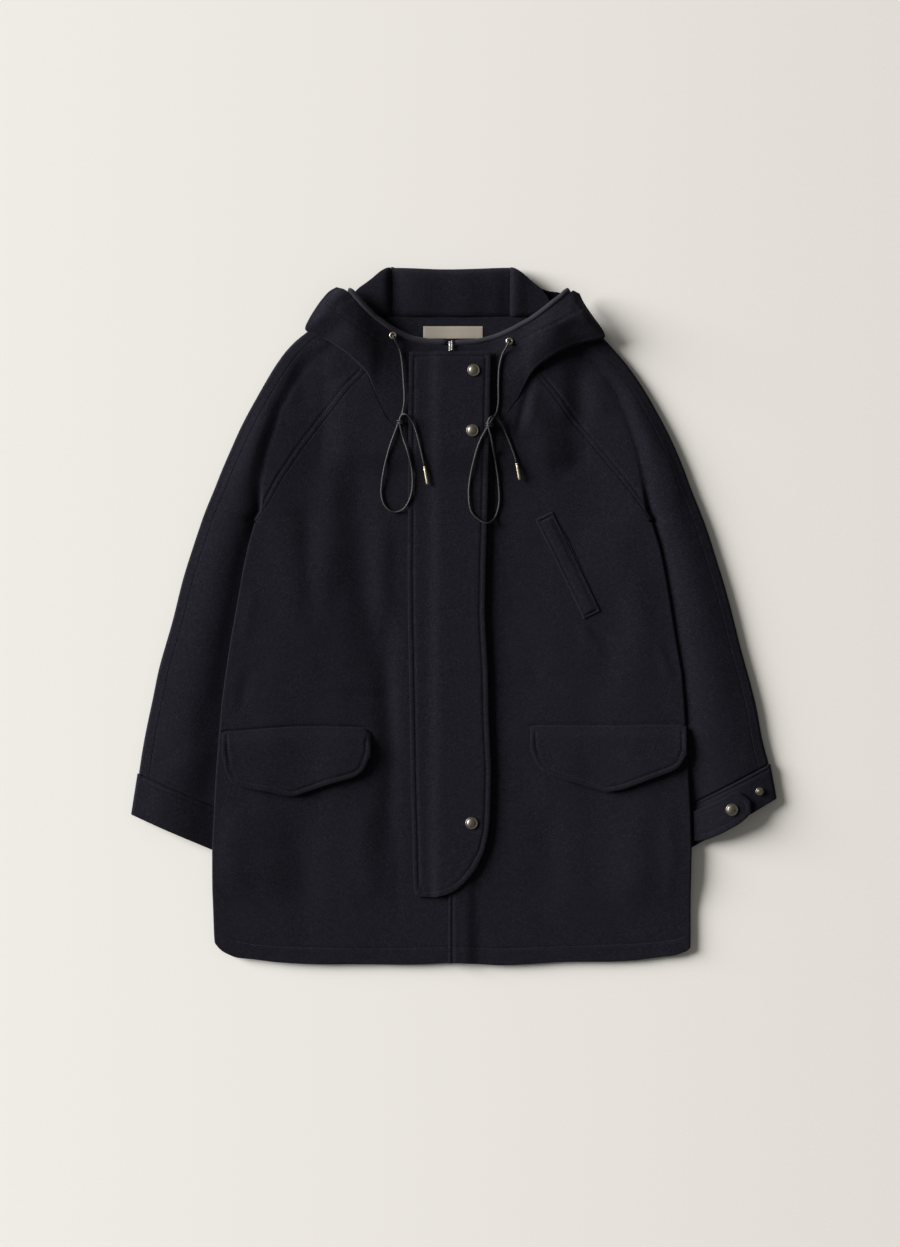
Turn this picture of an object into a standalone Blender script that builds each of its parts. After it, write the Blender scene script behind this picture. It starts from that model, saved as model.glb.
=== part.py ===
"""A wool parka laid flat on its back: raglan sleeves, hood, wind placket, pocket flaps and drawcord.

+X is the coat's right-hand side as seen from above, +Y runs from the hem to the hood, and +Z is up
from the floor. Sizes are in millimetres and each mesh is scaled to metres when it is made.
Side is -1 for the left of the view and +1 for its right.
"""
import math

import bpy
import numpy as np
from mathutils import Vector

MM = 0.001
LEFT, RIGHT = -1, 1

CLOTH = 2.5              # thickness of the wool
SEAM = 0.3               # gap between two pieces at a seam
FOLD_SEAM = 1.4          # the same where one of the two ends in a curl
UNDERARM_GAP = 6.0       # how much further apart they are just below the underarm
LAY = 0.4                # gap between a piece and the cloth it lies on
FRONT_HEIGHT = 8.0       # face of the front above the floor at the middle
HOOD_PACK = 5.6          # height of the hood folded under the upper back
EDGE_HEIGHT = 13.8       # face of the front at its side fold
SIDE_ROLL = 3.6          # radius of the fold at the body's side
TUCK_HEIGHT = 6.0        # face of the sleeve where it lies under the body
TUCK_ROLL = TUCK_HEIGHT / 2
SLEEVE_ROLL = 5.0        # radius of the sleeve's outer edge
LAP = 3.0                # rise of the right front where it laps over the left
CURL_STEPS = 4           # straight steps in a curled edge
CURL_STEP = 0.5          # length of such a step where the edge is flat
UNDERARM = 118.0         # Y of the underarm point
SNAP = 15.4              # diameter of a snap cap
CORD = 2.6               # diameter of the drawcord

# Y, and the body's side fold or sleeve ridge on the left and on the right, from the centre line
SIDE = (
    (-430, 296, 295), (-404, 299, 296), (-344, 301, 296), (-293, 301, 297), (-247, 299, 296),
    (-193, 296, 293), (-108, 289, 288), (-71, 284, 285), (-31, 278, 278), (14, 270, 271),
    (60, 262, 263), (88, 256, 257), (112, 249, 249), (132, 244, 244), (172, 239, 236),
    (209, 231, 228), (244, 219, 216), (272, 211, 203), (307, 209, 197), (350, 190, 190),
)
# Y, and the inner edge of the sleeve where it is tucked under the body
TUCK = ((-330, 258, 258), (-240, 256, 256), (-100, 246, 246), (-20, 235, 236), (40, 227, 228),
        (80, 229, 229), (100, 236, 236), (UNDERARM, 247, 247))
# Y, and the raglan seam
RAGLAN = ((UNDERARM, 244, 244), (125, 240, 240), (137, 232, 233), (168, 215, 209), (208, 188, 176),
          (246, 159, 144), (269, 141, 128), (283, 130, 117), (303, 109, 100))
# Y, and the neck seam between the front and the hood
NECK = ((226, 8, 44), (231, 67, 51), (246, 83, 62.5), (269, 94, 79.5), (303, 109, 99.5))
# Y at the sleeve's inner line, then Y and the distance from the centre line at its outer edge, on the
# left and on the right
SLEEVE_ROWS = (
    (352, 368, 160, 368, 166), (330, 355, 183, 353, 182), (303, 341, 200, 338, 194),
    (283, 322, 216, 320, 211), (269, 304, 228, 303, 224), (246, 275, 244, 275, 243),
    (208, 234, 266, 234, 265), (168, 188, 287, 188, 286), (137, 150, 301, 150, 300),
    (125, 135, 308, 135, 306), (119.5, 128, 311, 128, 309), (112, 121, 313, 121, 311),
    (102, 111, 317, 111, 315),
    (90, 99.5, 321, 99.5, 319), (76, 86, 325.5, 86, 323.5), (40, 49, 336.5, 49, 335.5),
    (-10, -3, 350, -3, 349), (-75, -68, 368, -67, 366), (-145, -128, 381, -122, 380),
    (-210, -168, 388, -157, 386), (-256, -197, 393, -185, 393.5),
)
UPPER_ROWS = 11          # how many of the sleeve's rows lie above the underarm
NECK_END = 112.0         # distance of the sleeve's neck end from the centre line
# across a steep ridge and across a gentle one, distance out from the ridge; and share of its fall
RIDGE_STEP = ((-0.9, -0.5, 0.12), (0.0, 2.0, 0.45), (0.4, 4.4, 0.8), (2.2, 6.8, 1.0), (4.6, 8.4, 1.0))
RIDGE_ROOM = 20.0        # least distance from the ridge to the overarm seam
CROWN = 4.6              # how far a sleeve's middle swells above its outer edge
OVERARM = 13.0           # distance of the overarm seam from the sleeve's outer edge
# Y of the cuff's seam at its inner and outer end, Y of its edge at both ends, and its outer edge's
# distance from the centre line at the seam and at the edge
CUFFS = {LEFT: (-257.4, -198.0, -312.0, -248.0, 394.5, 402.5),
         RIGHT: (-257.4, -186.0, -313.0, -228.0, 395.5, 403.5)}
CUFF_INNER = 257.0       # inner edge of the cuffs, under the body
CUFF_TUCK = 6.1          # face of a cuff where it lies under the body
CUFF_ROLL = 5.6          # radius of a cuff's outer edge
BACK_COLUMNS = (0, 0.04, 0.07, 0.1, 0.14, 0.2, 0.3, 0.5, 0.7, 0.8, 0.86, 0.9, 0.93, 0.96, 1)
# Y of the fronts' rows from the underarm up, with the points where the raglan seam turns
CHEST_LEVELS = (UNDERARM, 125, 137, 152, 168, 176, 188, 200, 208, 222, 231, 246, 269, 283, 298)
FRONT_COLUMNS = (14, 32, 58)     # distances from the centre line of a front's first columns
HOOD_SEAMS = (78.0, 70.0)    # the centre strip's seams, left and right of the centre line
# Y and height along the hood from the neck seam over its top fold and under the back, and how far its
# sides reach there on the left and on the right
HOOD_PATH = (
    (373.2, 8.8, 128, 130), (403, 15.0, 125, 114), (418, 17.2, 103, 95), (427, 16.6, 90, 82),
    (432, 13.0, 84, 78), (433.6, 8.5, 84, 78), (431.5, 3.4, 84, 78), (426, 0.0, 90, 82),
    (418, 0, 103, 95), (403, 0, 122, 114), (380, 0, 116, 112), (362, 0, 107, 104), (303, 0, 104, 95),
    (250, 0, 104, 96), (211, 0, 88, 84), (208.4, 1.0, 87, 83), (208.4, 4.3, 87, 83), (211, 5.3, 88, 84),
    (250, 5.3, 104, 96), (303, 5.3, 104, 95), (362, 5.3, 107, 104),
)
LOBE_SCALE = 1.15        # scale of the hood's rises over the cloth below it
LOBE_ROLL = 4.6          # radius of the fold at the hood's lower edge
LOBE_BULGE = 5.0         # swell of the hood's sides between their fold and the opening edge
BINDING_WIDTH, BINDING_HEIGHT = 7.0, 5.2
BINDING_GAP = 1.3        # gap between the binding and the edge of the hood's side
TIP_GAP = 2.2            # gap between the binding's end and the tip of the hood's side
PLACKET_THICK = 3.4
FLAP_THICK, FLAP_SWELL = 3.0, 2.6
FLAP_STAND = 1.5         # how far a flap stands off the front
WELT_THICK, TAB_THICK = 3.0, 3.0
ZIP_THICK, LABEL_THICK = 3.4, 0.8
# the cuff tab's upper and lower edge, from the body's side out to its end
TAB = (((298.5, -244.5), (300, -279.5)), ((312, -239), (317, -277)), ((330, -230.5), (334, -271)),
       ((350, -221), (353, -262)), ((362, -228), (364, -257)), ((369.5, -237), (370.5, -248)))
TAB_SNAP = (346.0, -241.5)
CUFF_STUD = (381.0, -219.0)
# X and Y of the hem's edge
HEM = ((-300, -403), (-297, -410), (-290, -418), (-272, -427), (-224, -433), (-115, -436), (-8, -434),
       (53, -436), (139, -433), (230, -430), (276, -425), (294, -418), (300, -408))
# height, half width, and points of a fold's line; the line fades out at both of its ends
FOLDS = (
    (-2.2, 17, ((-119, 280), (-120, 150), (-112, 20), (-90, -67), (-73, -160), (-70, -330))),
    (-2.0, 12, ((-184, 150), (-181, 60), (-175, -20))),
    (2.2, 16, ((-154, 200), (-152, 100), (-158, 10))),
    (2.0, 14, ((-88, 130), (-90, 40), (-82, -30))),
    (2.0, 20, ((-112, -225), (-108, -300), (-104, -370))),
    (2.2, 22, ((-262, -230), (-274, -290), (-268, -350))),
    (-1.8, 20, ((-205, -240), (-190, -320), (-180, -390))),
    (2.4, 15, ((96, 285), (112, 215), (122, 150))),
    (-2.2, 14, ((140, 262), (146, 215), (158, 170))),
    (1.8, 18, ((220, 90), (232, 0), (236, -90))),
    (-1.8, 22, ((205, 60), (198, -40), (190, -110))),
    (-1.6, 24, ((110, -220), (118, -300), (112, -380))),
    (1.8, 24, ((215, -240), (226, -310), (220, -380))),
    (-2.0, 14, ((-188, 335), (-189, 300), (-186, 250))),
    (2.2, 13, ((-160, 345), (-155, 320), (-154, 290))),
    (-2.0, 13, ((150, 320), (152, 270), (158, 225))),
    (2.0, 13, ((178, 310), (181, 275), (190, 245))),
)
# Y, and the left and right edges of the placket
PLACKET = (
    (-351, -44, -22), (-346, -49, -2), (-336, -49.5, 12), (-318, -50, 27), (-296, -50.5, 38),
    (-270, -51, 44), (-240, -52, 46), (-194, -53, 47), (-130, -54, 44), (-73, -55, 43), (0, -56.5, 39),
    (60, -57, 40), (128, -56.5, 42), (168, -56.3, 43), (176, -56.2, 43.2), (188, -56, 43.5),
    (200, -56, 43.8), (208, -56, 44), (246, -56, 45), (328, -55, 46.5),
)
# position across a pocket flap from 0 to 1, and its top and bottom edge on the left and on the right
FLAPS = {
    LEFT: ((-288, -146, -170), (-284, -145.5, -196), (-276, -145, -209), (-250, -143, -216),
           (-226, -141, -220), (-212, -140, -224), (-198, -139, -225), (-158, -139, -211), (-122, -140, -201),
           (-110, -141, -192), (-103, -150, -172)),
    RIGHT: ((96, -139, -165), (101, -138, -182), (109, -138, -192), (135, -138, -203),
            (191, -138, -220), (212, -138, -216), (236, -137, -207), (274, -137, -193), (284, -137, -186),
            (290, -139, -170)),
}
# the hood's front from the placket to its tip: the lower edge, the edge under the binding, the height
# of each, and how far the fold at the lower edge turns under
HOOD = {
    LEFT: (
        ((-2, 226.5), (-2, 336), 0.0, 0.0, 0), ((-30, 228), (-27, 337), 0.0, 0.0, 0),
        ((-66.3, 231.6), (-52, 341), 0.0, 0.0, 0), ((-82.3, 246.4), (-68, 348), 0.0, 2.4, 0),
        ((-93.3, 269.4), (-81, 355), 0.5, 6.0, 0), ((-99.9, 284.3), (-89, 361), 2.0, 8.0, 0.25),
        ((-108.3, 303.8), (-98, 367), 6.5, 10, 0.6),
        ((-134, 327), (-108, 376), 11, 13, 1), ((-156, 342), (-116, 384), 12, 15, 1),
        ((-176, 350), (-121, 390), 12, 16, 1), ((-186.5, 355), (-125, 394), 12, 16, 1),
        ((-180, 369), (-127, 397), 12, 16, 1), ((-168, 388), (-130, 400), 11.5, 16, 1),
        ((-156, 403), (-133, 403), 11, 15, 1), ((-146, 408), (-136, 405), 11, 12, 1),
    ),
    RIGHT: (
        ((-1, 226.5), (-1, 336), 0.0, 0.0, 0), ((25, 228), (27, 337), 0.0, 0.0, 0),
        ((50.4, 231.6), (46, 341), 0.0, 0.0, 0), ((61.8, 246.4), (60, 346), 0.0, 2.4, 0),
        ((78.8, 269.4), (75, 352.5), 0.5, 6.0, 0), ((87.6, 284.3), (85, 358), 2.0, 8.0, 0.25),
        ((98.6, 303.8), (95, 363), 6.5, 10, 0.6),
        ((121, 321), (110, 373), 11, 13, 1), ((150, 336), (121, 381), 12, 15, 1),
        ((176, 342), (128, 387), 12, 16, 1), ((190.5, 345), (134, 391), 12, 16, 1),
        ((184, 358), (138, 395), 12, 16, 1), ((172, 374), (141, 398), 12, 16, 1),
        ((162, 389), (145, 401), 11, 15, 1), ((157, 400), (148.5, 403.5), 11, 12, 1),
    ),
}
# the route of each drawcord from its eyelet: X, Y and height above the cloth's face
CORDS = {
    LEFT: (
        (-75.5, 348, 0.2), (-75.2, 347.4, 2.6), (-72, 341, 2.9), (-67, 331, 0), (-64, 316, 0),
        (-62, 290, 0), (-61, 270, 0), (-63, 254, 0), (-67, 244, 0), (-71, 233, 0), (-79, 211, 0.5),
        (-86, 185, 0.6), (-90, 158, 0), (-88, 142, 0), (-81, 132, 0), (-72, 129, 0), (-62, 133, 0),
        (-54, 146, 0), (-51, 163, 0), (-52, 183, 0), (-57, 204, 0), (-62.5, 220, 0.6),
        (-65.5, 232, 2.8), (-67, 241, 4.0), (-65, 248.5, 4.3), (-59.5, 250, 3.8), (-54, 245, 2.2),
        (-48.5, 235, 0.4), (-43, 216, 0), (-38, 194, 0), (-36.6, 187, 0),
    ),
    RIGHT: (
        (69.5, 341, 0.2), (69.2, 340.4, 2.6), (66, 334, 2.9), (61, 325, 0), (57, 309, 0),
        (56, 288, 0), (56, 268, 0), (54, 254, 0), (48, 243, 0), (41, 232, 0), (33, 217, 0),
        (27, 199, 0), (21, 173, 0), (19, 150, 0), (22, 130, 0), (32, 119, 0), (43, 115, 0),
        (52, 123, 0), (57, 141, 0), (56, 166, 0), (52, 193, 0), (48.5, 212, 0.6), (46, 224, 2.6),
        (43.5, 233, 4.2), (43, 241, 4.4), (47, 246.5, 5.0), (53, 245.5, 6.5), (58.5, 240, 4.0),
        (65, 227, 0.6), (72, 210, 0), (77, 196, 0), (78.2, 191, 0),
    ),
}
TIPS = {LEFT: ((-36.3, 185.6), (-32.4, 163.0)), RIGHT: ((78.6, 189.6), (82.4, 168.6))}
EYELETS = {LEFT: (-75.5, 348), RIGHT: (69.5, 341)}
SNAPS = {"snap_top": (25, 305), "snap_middle": (23.5, 230), "snap_bottom": (22.5, -258.5)}

# name: colour, roughness, metallic
MATERIALS = {
    "wool": ((0.011, 0.011, 0.014), 0.95, 0.0),
    "binding": ((0.024, 0.025, 0.034), 0.9, 0.0),
    "cord": ((0.010, 0.011, 0.012), 0.5, 0.0),
    "snap": ((0.16, 0.15, 0.13), 0.4, 1.0),
    "brass": ((0.42, 0.36, 0.24), 0.35, 1.0),
    "label": ((0.33, 0.29, 0.24), 0.8, 0.0),
}


def smooth(value):
    """Ease from 0 to 1."""
    value = min(1.0, max(0.0, value))
    return value * value * (3.0 - 2.0 * value)


def look_up(table, key, column):
    """Read a column of a table at a key, in straight lines between its rows."""
    rows = sorted(table)
    return float(np.interp(key, [row[0] for row in rows], [row[column] for row in rows]))


def side_column(side):
    """The column of a table that belongs to a side."""
    return 1 if side == LEFT else 2


def side_line(side, y):
    """Distance of the side fold or ridge from the centre line."""
    return look_up(SIDE, y, side_column(side))


def tuck_line(side, y):
    """Distance of the sleeve's tucked edge from the centre line."""
    return look_up(TUCK, y, side_column(side))


def line_distance(points, x, y):
    """Distance from a broken line, and how far along it the nearest point lies, from 0 to 1."""
    best = (1e9, 0.0)
    lengths = [math.dist(a, b) for a, b in zip(points, points[1:])]
    done = 0.0
    for (ax, ay), (bx, by), length in zip(points, points[1:], lengths):
        along = ((x - ax) * (bx - ax) + (y - ay) * (by - ay)) / length ** 2
        along = min(1.0, max(0.0, along))
        distance = math.hypot(x - ax - along * (bx - ax), y - ay - along * (by - ay))
        best = min(best, (distance, (done + along * length) / sum(lengths)))
        done += length
    return best


def relief(x, y):
    """Height of the soft folds at a point."""
    total = 0.0
    for height, width, points in FOLDS:
        distance, along = line_distance(points, x, y)
        fade = smooth(along / 0.3) * smooth((1.0 - along) / 0.3)
        total += height * fade * math.exp(-(distance / width) ** 2)
    return total * smooth((abs(x) - 58) / 25)


def pack_height(x, y):
    """How far the hood under the upper back lifts what lies on it."""
    return HOOD_PACK * smooth((y - 172) / 34) * smooth((172 - abs(x)) / 40)


def low_fade(y):
    """1 where the sleeve lies under the body's side, easing to 0 below the cuff."""
    return smooth((y + 372) / 56)


def side_lift(side, x, y, amount, early=0.0):
    """How far the sleeve under the body's side, or the ridge above it, lifts a panel.

    early starts the lift that much nearer the centre line."""
    if y > UNDERARM:
        start = side_line(side, y) - 42
        fade = 1.0 - 0.6 * smooth((y - UNDERARM) / 190)
        return amount * fade * smooth((abs(x) - start) / 36)
    return amount * smooth((abs(x) - tuck_line(side, y) + 28 + early) / 18)


def back_height(x, y):
    """Underside of the back panel."""
    side = LEFT if x < 0 else RIGHT
    rest = FRONT_HEIGHT + (EDGE_HEIGHT - FRONT_HEIGHT) * low_fade(y) - 2 * SIDE_ROLL
    lift = side_lift(side, x, y, rest)
    return max(pack_height(x, y), lift * smooth((UNDERARM + 26 - y) / 30))


def front_height(x, y):
    """Face of the fronts, and of the sleeves as far as their ridge."""
    side = LEFT if x < 0 else RIGHT
    ground = FRONT_HEIGHT + pack_height(x, y)
    lift = side_lift(side, x, y, (EDGE_HEIGHT - FRONT_HEIGHT) * low_fade(y), early=5.0)
    inner = smooth((side_line(side, y) + 4 - abs(x)) / 26)
    return max(ground, FRONT_HEIGHT + lift) + relief(x, y) * inner


def lap_height(x, y):
    """Rise of the right front's edge where it lies on the left front."""
    return LAP * smooth((30 - x) / 14)


def hem_line(x):
    """Y of the hem at a point across the coat."""
    return look_up(HEM, x, 1)


def curl_reach(radius, amount):
    """Distance from where an edge starts to curl to its outermost point."""
    return radius * math.sin(math.pi * min(amount, 0.5)) + CURL_STEP * CURL_STEPS * (1 - amount)


def curl_points(radius, amount):
    """Points of an edge that curls under, from where it starts: distance outward and distance down.

    amount is 0 for a flat edge and 1 for a full half turn."""
    points = []
    for step in range(CURL_STEPS + 1):
        angle = math.pi * amount * step / CURL_STEPS
        flat = CURL_STEP * step * (1 - amount)
        points.append((flat + radius * math.sin(angle), radius * (1 - math.cos(angle))))
    return points


def material(name):
    """A plain material, made once."""
    found = bpy.data.materials.get(name)
    if found:
        return found
    colour, roughness, metallic = MATERIALS[name]
    made = bpy.data.materials.new(name)
    made.use_nodes = True
    shader = made.node_tree.nodes["Principled BSDF"]
    shader.inputs["Base Color"].default_value = (*colour, 1.0)
    shader.inputs["Roughness"].default_value = roughness
    shader.inputs["Metallic"].default_value = metallic
    return made


def add_mesh(name, points, faces, finish):
    """Make one closed object, with its faces turned outward."""
    points = np.asarray(points, dtype=float)
    volume = 0.0
    for face in faces:
        for second, third in zip(face[1:], face[2:]):
            volume += np.dot(points[face[0]], np.cross(points[second], points[third]))
    if volume < 0:
        faces = [tuple(reversed(face)) for face in faces]
    mesh = bpy.data.meshes.new(name)
    mesh.from_pydata([tuple(point) for point in points * MM], [], faces)
    mesh.update()
    made = bpy.data.objects.new(name, mesh)
    bpy.context.scene.collection.objects.link(made)
    mesh.materials.append(material(finish))
    mesh.shade_smooth()
    mesh.set_sharp_from_angle(angle=math.radians(50))
    return made


def section_normals(grid, closed, plane):
    """Unit normals of a grid's points, each in the upright plane of its row.

    At a row's two ends a nearly upright normal is made upright, so that pieces meet along upright
    walls at a seam."""
    if closed:
        along = np.roll(grid, -1, axis=1) - np.roll(grid, 1, axis=1)
        chord = grid[:, grid.shape[1] // 2] - grid[:, 0]
    else:
        along = np.gradient(grid, axis=1)
        chord = grid[:, -1] - grid[:, 0]
    sideways = np.stack((-chord[:, 1], chord[:, 0], np.zeros(len(chord))), axis=1)
    if plane:
        sideways[:] = plane
    normals = np.cross(along, sideways[:, None, :])
    normals /= np.maximum(np.linalg.norm(normals, axis=2, keepdims=True), 1e-9)
    if not closed:
        for column in (0, -1):
            level = np.abs(normals[:, column, 2]) > 0.75
            normals[level, column] = np.sign(normals[level, column, 2:]) * (0.0, 0.0, 1.0)
    return normals


def add_sheet(name, grid, finish="wool", thickness=CLOTH, upright=False, closed=False, first=None,
              turn=1, plane=None):
    """Make a cloth panel from the points of its face: rows, each a section in an upright plane.

    The wall goes inward from the face, straight down where upright is set. first gives the first
    column that each row has, so that a panel can be narrower in some of its rows. turn is -1 where a
    row runs the other way round, and plane gives the rows' planes where their ends don't."""
    grid = np.asarray(grid, dtype=float)
    rows, columns = grid.shape[:2]
    if upright:
        inside = grid - (0.0, 0.0, thickness)
    else:
        inside = grid - section_normals(grid, closed, plane) * turn * thickness
    start = first or [0] * rows
    used = {}
    points = []

    def index(layer, row, column):
        key = (layer, row, column % columns)
        if key not in used:
            used[key] = len(points)
            points.append((grid, inside)[layer][row, column % columns])
        return used[key]

    faces = []
    edges = {}
    for row in range(rows - 1):
        for column in range(max(start[row], start[row + 1]), columns if closed else columns - 1):
            corners = [(row, column), (row, column + 1), (row + 1, column + 1), (row + 1, column)]
            corners = [(level, place % columns) for level, place in corners]
            for one, two in zip(corners, corners[1:] + corners[:1]):
                edges[(one, two)] = True
            a, b, c, d = corners
            if math.dist(grid[a], grid[c]) <= math.dist(grid[b], grid[d]):
                halves = ((a, b, c), (a, c, d))
            else:
                halves = ((a, b, d), (b, c, d))
            for half in halves:
                faces.append(tuple(index(0, *corner) for corner in half))
                faces.append(tuple(index(1, *corner) for corner in reversed(half)))
    for one, two in edges:
        if (two, one) not in edges:
            faces.append((index(0, *two), index(0, *one), index(1, *one), index(1, *two)))
    return add_mesh(name, points, faces, finish)


def front_panel(side):
    """One front, from its edge under the placket to its side fold."""
    levels = [None, -385, -345, -300, -240, -180, -120, -60, 0, 45, 80, 91, 102, 110, *CHEST_LEVELS]
    grid = []
    for level in levels:
        y = -410 if level is None else level
        curl = smooth((UNDERARM - y) / 38)
        if y <= UNDERARM:
            edge = side_line(side, y)
            edge -= (1 - curl) * (edge - look_up(RAGLAN, UNDERARM, side_column(side)) + SEAM)
        else:
            edge = look_up(RAGLAN, y, side_column(side)) - SEAM
        start = edge - curl_reach(SIDE_ROLL, curl)
        inner = -6.0 if side == RIGHT else -8.0
        if y > 224:
            inner = look_up(NECK, y, side_column(side))
        first = [inner, *FRONT_COLUMNS]
        if y > 224:
            first = [inner + (start - inner) * share for share in (0, 0.1, 0.2, 0.3)]
        shares = (0.17, 0.34, 0.5, 0.64, 0.74, 0.84, 0.92, 1.0)
        row = []
        for distance in first + [first[-1] + (start - first[-1]) * share for share in shares]:
            x = side * distance
            row.append((x, front_height(x, y)))
        top = row[-1][1]
        row += [(side * (start + out), top - down) for out, down in curl_points(SIDE_ROLL, curl)[1:]]
        if side == RIGHT:
            row = [(x, height + lap_height(x, y)) for x, height in row]
        grid.append([(x, hem_line(x) if level is None else y, height) for x, height in row])
    add_sheet("front_left" if side == LEFT else "front_right", grid)


def sleeve_row(side, row):
    """The inner line, ridge and outer edge of one row of a sleeve, and a function for its points."""
    y_in = SLEEVE_ROWS[row][0]
    y_out, outer = SLEEVE_ROWS[row][1:3] if side == LEFT else SLEEVE_ROWS[row][3:5]
    if row >= UPPER_ROWS:
        inner = tuck_line(side, y_in)
    elif y_in > 303:
        inner = NECK_END
    else:
        inner = look_up(RAGLAN, y_in, side_column(side)) + SEAM

    def place(across, height):
        share = (across - inner) / (outer - inner)
        return (side * across, y_in + share * (y_out - y_in), height)

    ridge = side_line(side, y_in)
    for _ in range(6):
        ridge = side_line(side, place(ridge, 0)[1])
    ridge = min(ridge, outer - OVERARM - RIDGE_ROOM)
    return inner, max(ridge, inner + 6.2), outer, place


def crown(across, y, ridge, outer, valley):
    """Face of a sleeve between the valley beside the body and its outer edge."""
    share = min(1.0, max(0.0, (across - ridge) / (outer - SLEEVE_ROLL - ridge)))
    swell = CROWN * (0.25 + 0.75 * smooth((310 - y) / 110))
    return valley + (2 * SLEEVE_ROLL - valley) * smooth(share * 1.3) + swell * math.sin(math.pi * share)


def sleeve_valley(side, row):
    """Height of the crest of a sleeve's ridge, and of the valley outside it."""
    if row >= UPPER_ROWS:
        return TUCK_HEIGHT, TUCK_HEIGHT
    _, ridge, _, place = sleeve_row(side, row)
    crest = front_height(*place(ridge - 3.0, 0)[:2])
    drop = (crest - TUCK_HEIGHT - 0.4) * (0.12 + 0.88 * smooth((318 - SLEEVE_ROWS[row][0]) / 120))
    return crest, crest - drop


def sleeve_front(side):
    """The sleeve's front: from the raglan seam over the ridge, and below the underarm from its edge
    under the body, to the overarm seam."""
    grid = []
    for row in range(len(SLEEVE_ROWS)):
        inner, ridge, outer, place = sleeve_row(side, row)
        crest, valley = sleeve_valley(side, row)
        drop = crest - valley
        points = []
        if row < UPPER_ROWS:
            for step in range(5):
                across = inner + (ridge - 3.0 - inner) * step / 4
                points.append(place(across, front_height(*place(across, 0)[:2])))
            steep = smooth(drop / 6)
            for out, gentle, fall in RIDGE_STEP:
                points.append(place(ridge + gentle + (out - gentle) * steep, crest - fall * drop))
        else:
            curl = smooth((UNDERARM + 2 - SLEEVE_ROWS[row][0]) / 40)
            start = inner + curl_reach(TUCK_ROLL, curl)
            curled = [place(start - out, valley - down) for out, down in curl_points(TUCK_ROLL, curl)]
            curled.reverse()
            end, before = Vector(curled[0]), Vector(curled[1])
            points += [tuple(end + (end - before) * step) for step in (4, 3, 2, 1)] + curled
            points.append(place(ridge, valley))
        last = abs(points[-1][0])
        for step in range(1, 7):
            across = last + (outer - OVERARM - last) * step / 6
            y = place(across, 0)[1]
            points.append(place(across, crown(across, y, ridge, outer, valley) + relief(side * across, y)))
        grid.append(points)
    first = [0 if row < UPPER_ROWS else 4 for row in range(len(SLEEVE_ROWS))]
    add_sheet("sleeve_front_left" if side == LEFT else "sleeve_front_right", grid, first=first)


def sleeve_back(side):
    """The sleeve's back: from the overarm seam round the outer edge and in along the floor."""
    grid = []
    for row in range(len(SLEEVE_ROWS)):
        inner, ridge, outer, place = sleeve_row(side, row)
        valley = sleeve_valley(side, row)[1]
        points = []
        for across in (outer - OVERARM + SEAM, outer - SLEEVE_ROLL - 1.5):
            points.append(place(across, crown(across, place(across, 0)[1], ridge, outer, valley)))
        for step in range(1, 6):
            angle = math.pi * step / 5
            points.append(place(outer - SLEEVE_ROLL * (1 - math.sin(angle)),
                                SLEEVE_ROLL * (1 + math.cos(angle))))
        end = inner + (SEAM if row < UPPER_ROWS else TUCK_ROLL + FOLD_SEAM)
        for step in range(1, 5):
            points.append(place(outer - SLEEVE_ROLL + (end - outer + SLEEVE_ROLL) * step / 4, 0.0))
        grid.append(points)
    add_sheet("sleeve_back_left" if side == LEFT else "sleeve_back_right", grid, turn=-1)


def cuff_point(side, share, across, height):
    """A point on a cuff; share runs from its seam to its edge."""
    top_in, top_out, low_in, low_out, top_x, low_x = CUFFS[side]
    outer = top_x + (low_x - top_x) * share
    y_in = top_in + (low_in - top_in) * share
    y_out = top_out + (low_out - top_out) * share
    along = (across - CUFF_INNER) / (outer - CUFF_INNER)
    return (side * across, y_in + along * (y_out - y_in), height)


def cuff_height(side, share, across):
    """Face of a cuff's upper side."""
    top_x, low_x = CUFFS[side][4:6]
    outer = top_x + (low_x - top_x) * share
    ridge = side_line(side, cuff_point(side, share, across, 0)[1])
    swell = CROWN + 1.2
    where = min(1.0, max(0.0, (across - ridge) / (outer - CUFF_ROLL - ridge)))
    return CUFF_TUCK + (2 * CUFF_ROLL - CUFF_TUCK) * smooth(where * 1.3) + swell * math.sin(math.pi * where)


def cuff(side):
    """The cuff band, a ring with open ends."""
    top_x, low_x = CUFFS[side][4:6]
    radius = CUFF_TUCK / 2
    grid = []
    for step in range(4):
        share = step / 3
        outer = top_x + (low_x - top_x) * share
        points = []
        for turn in range(5):
            angle = math.pi * turn / 4
            across = CUFF_INNER + radius * (1 - math.sin(angle))
            points.append(cuff_point(side, share, across, radius * (1 - math.cos(angle))))
        for part in range(1, 10):
            across = CUFF_INNER + radius + (outer - CUFF_ROLL - CUFF_INNER - radius) * part / 9
            points.append(cuff_point(side, share, across, cuff_height(side, share, across)))
        for turn in range(1, 6):
            angle = math.pi * turn / 5
            across = outer - CUFF_ROLL * (1 - math.sin(angle))
            points.append(cuff_point(side, share, across, CUFF_ROLL * (1 + math.cos(angle))))
        for part in range(1, 5):
            across = outer - CUFF_ROLL + (CUFF_INNER + radius - outer + CUFF_ROLL) * part / 5
            points.append(cuff_point(side, share, across, 0.0))
        grid.append(points)
    add_sheet("cuff_left" if side == LEFT else "cuff_right", grid, closed=True)


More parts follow.
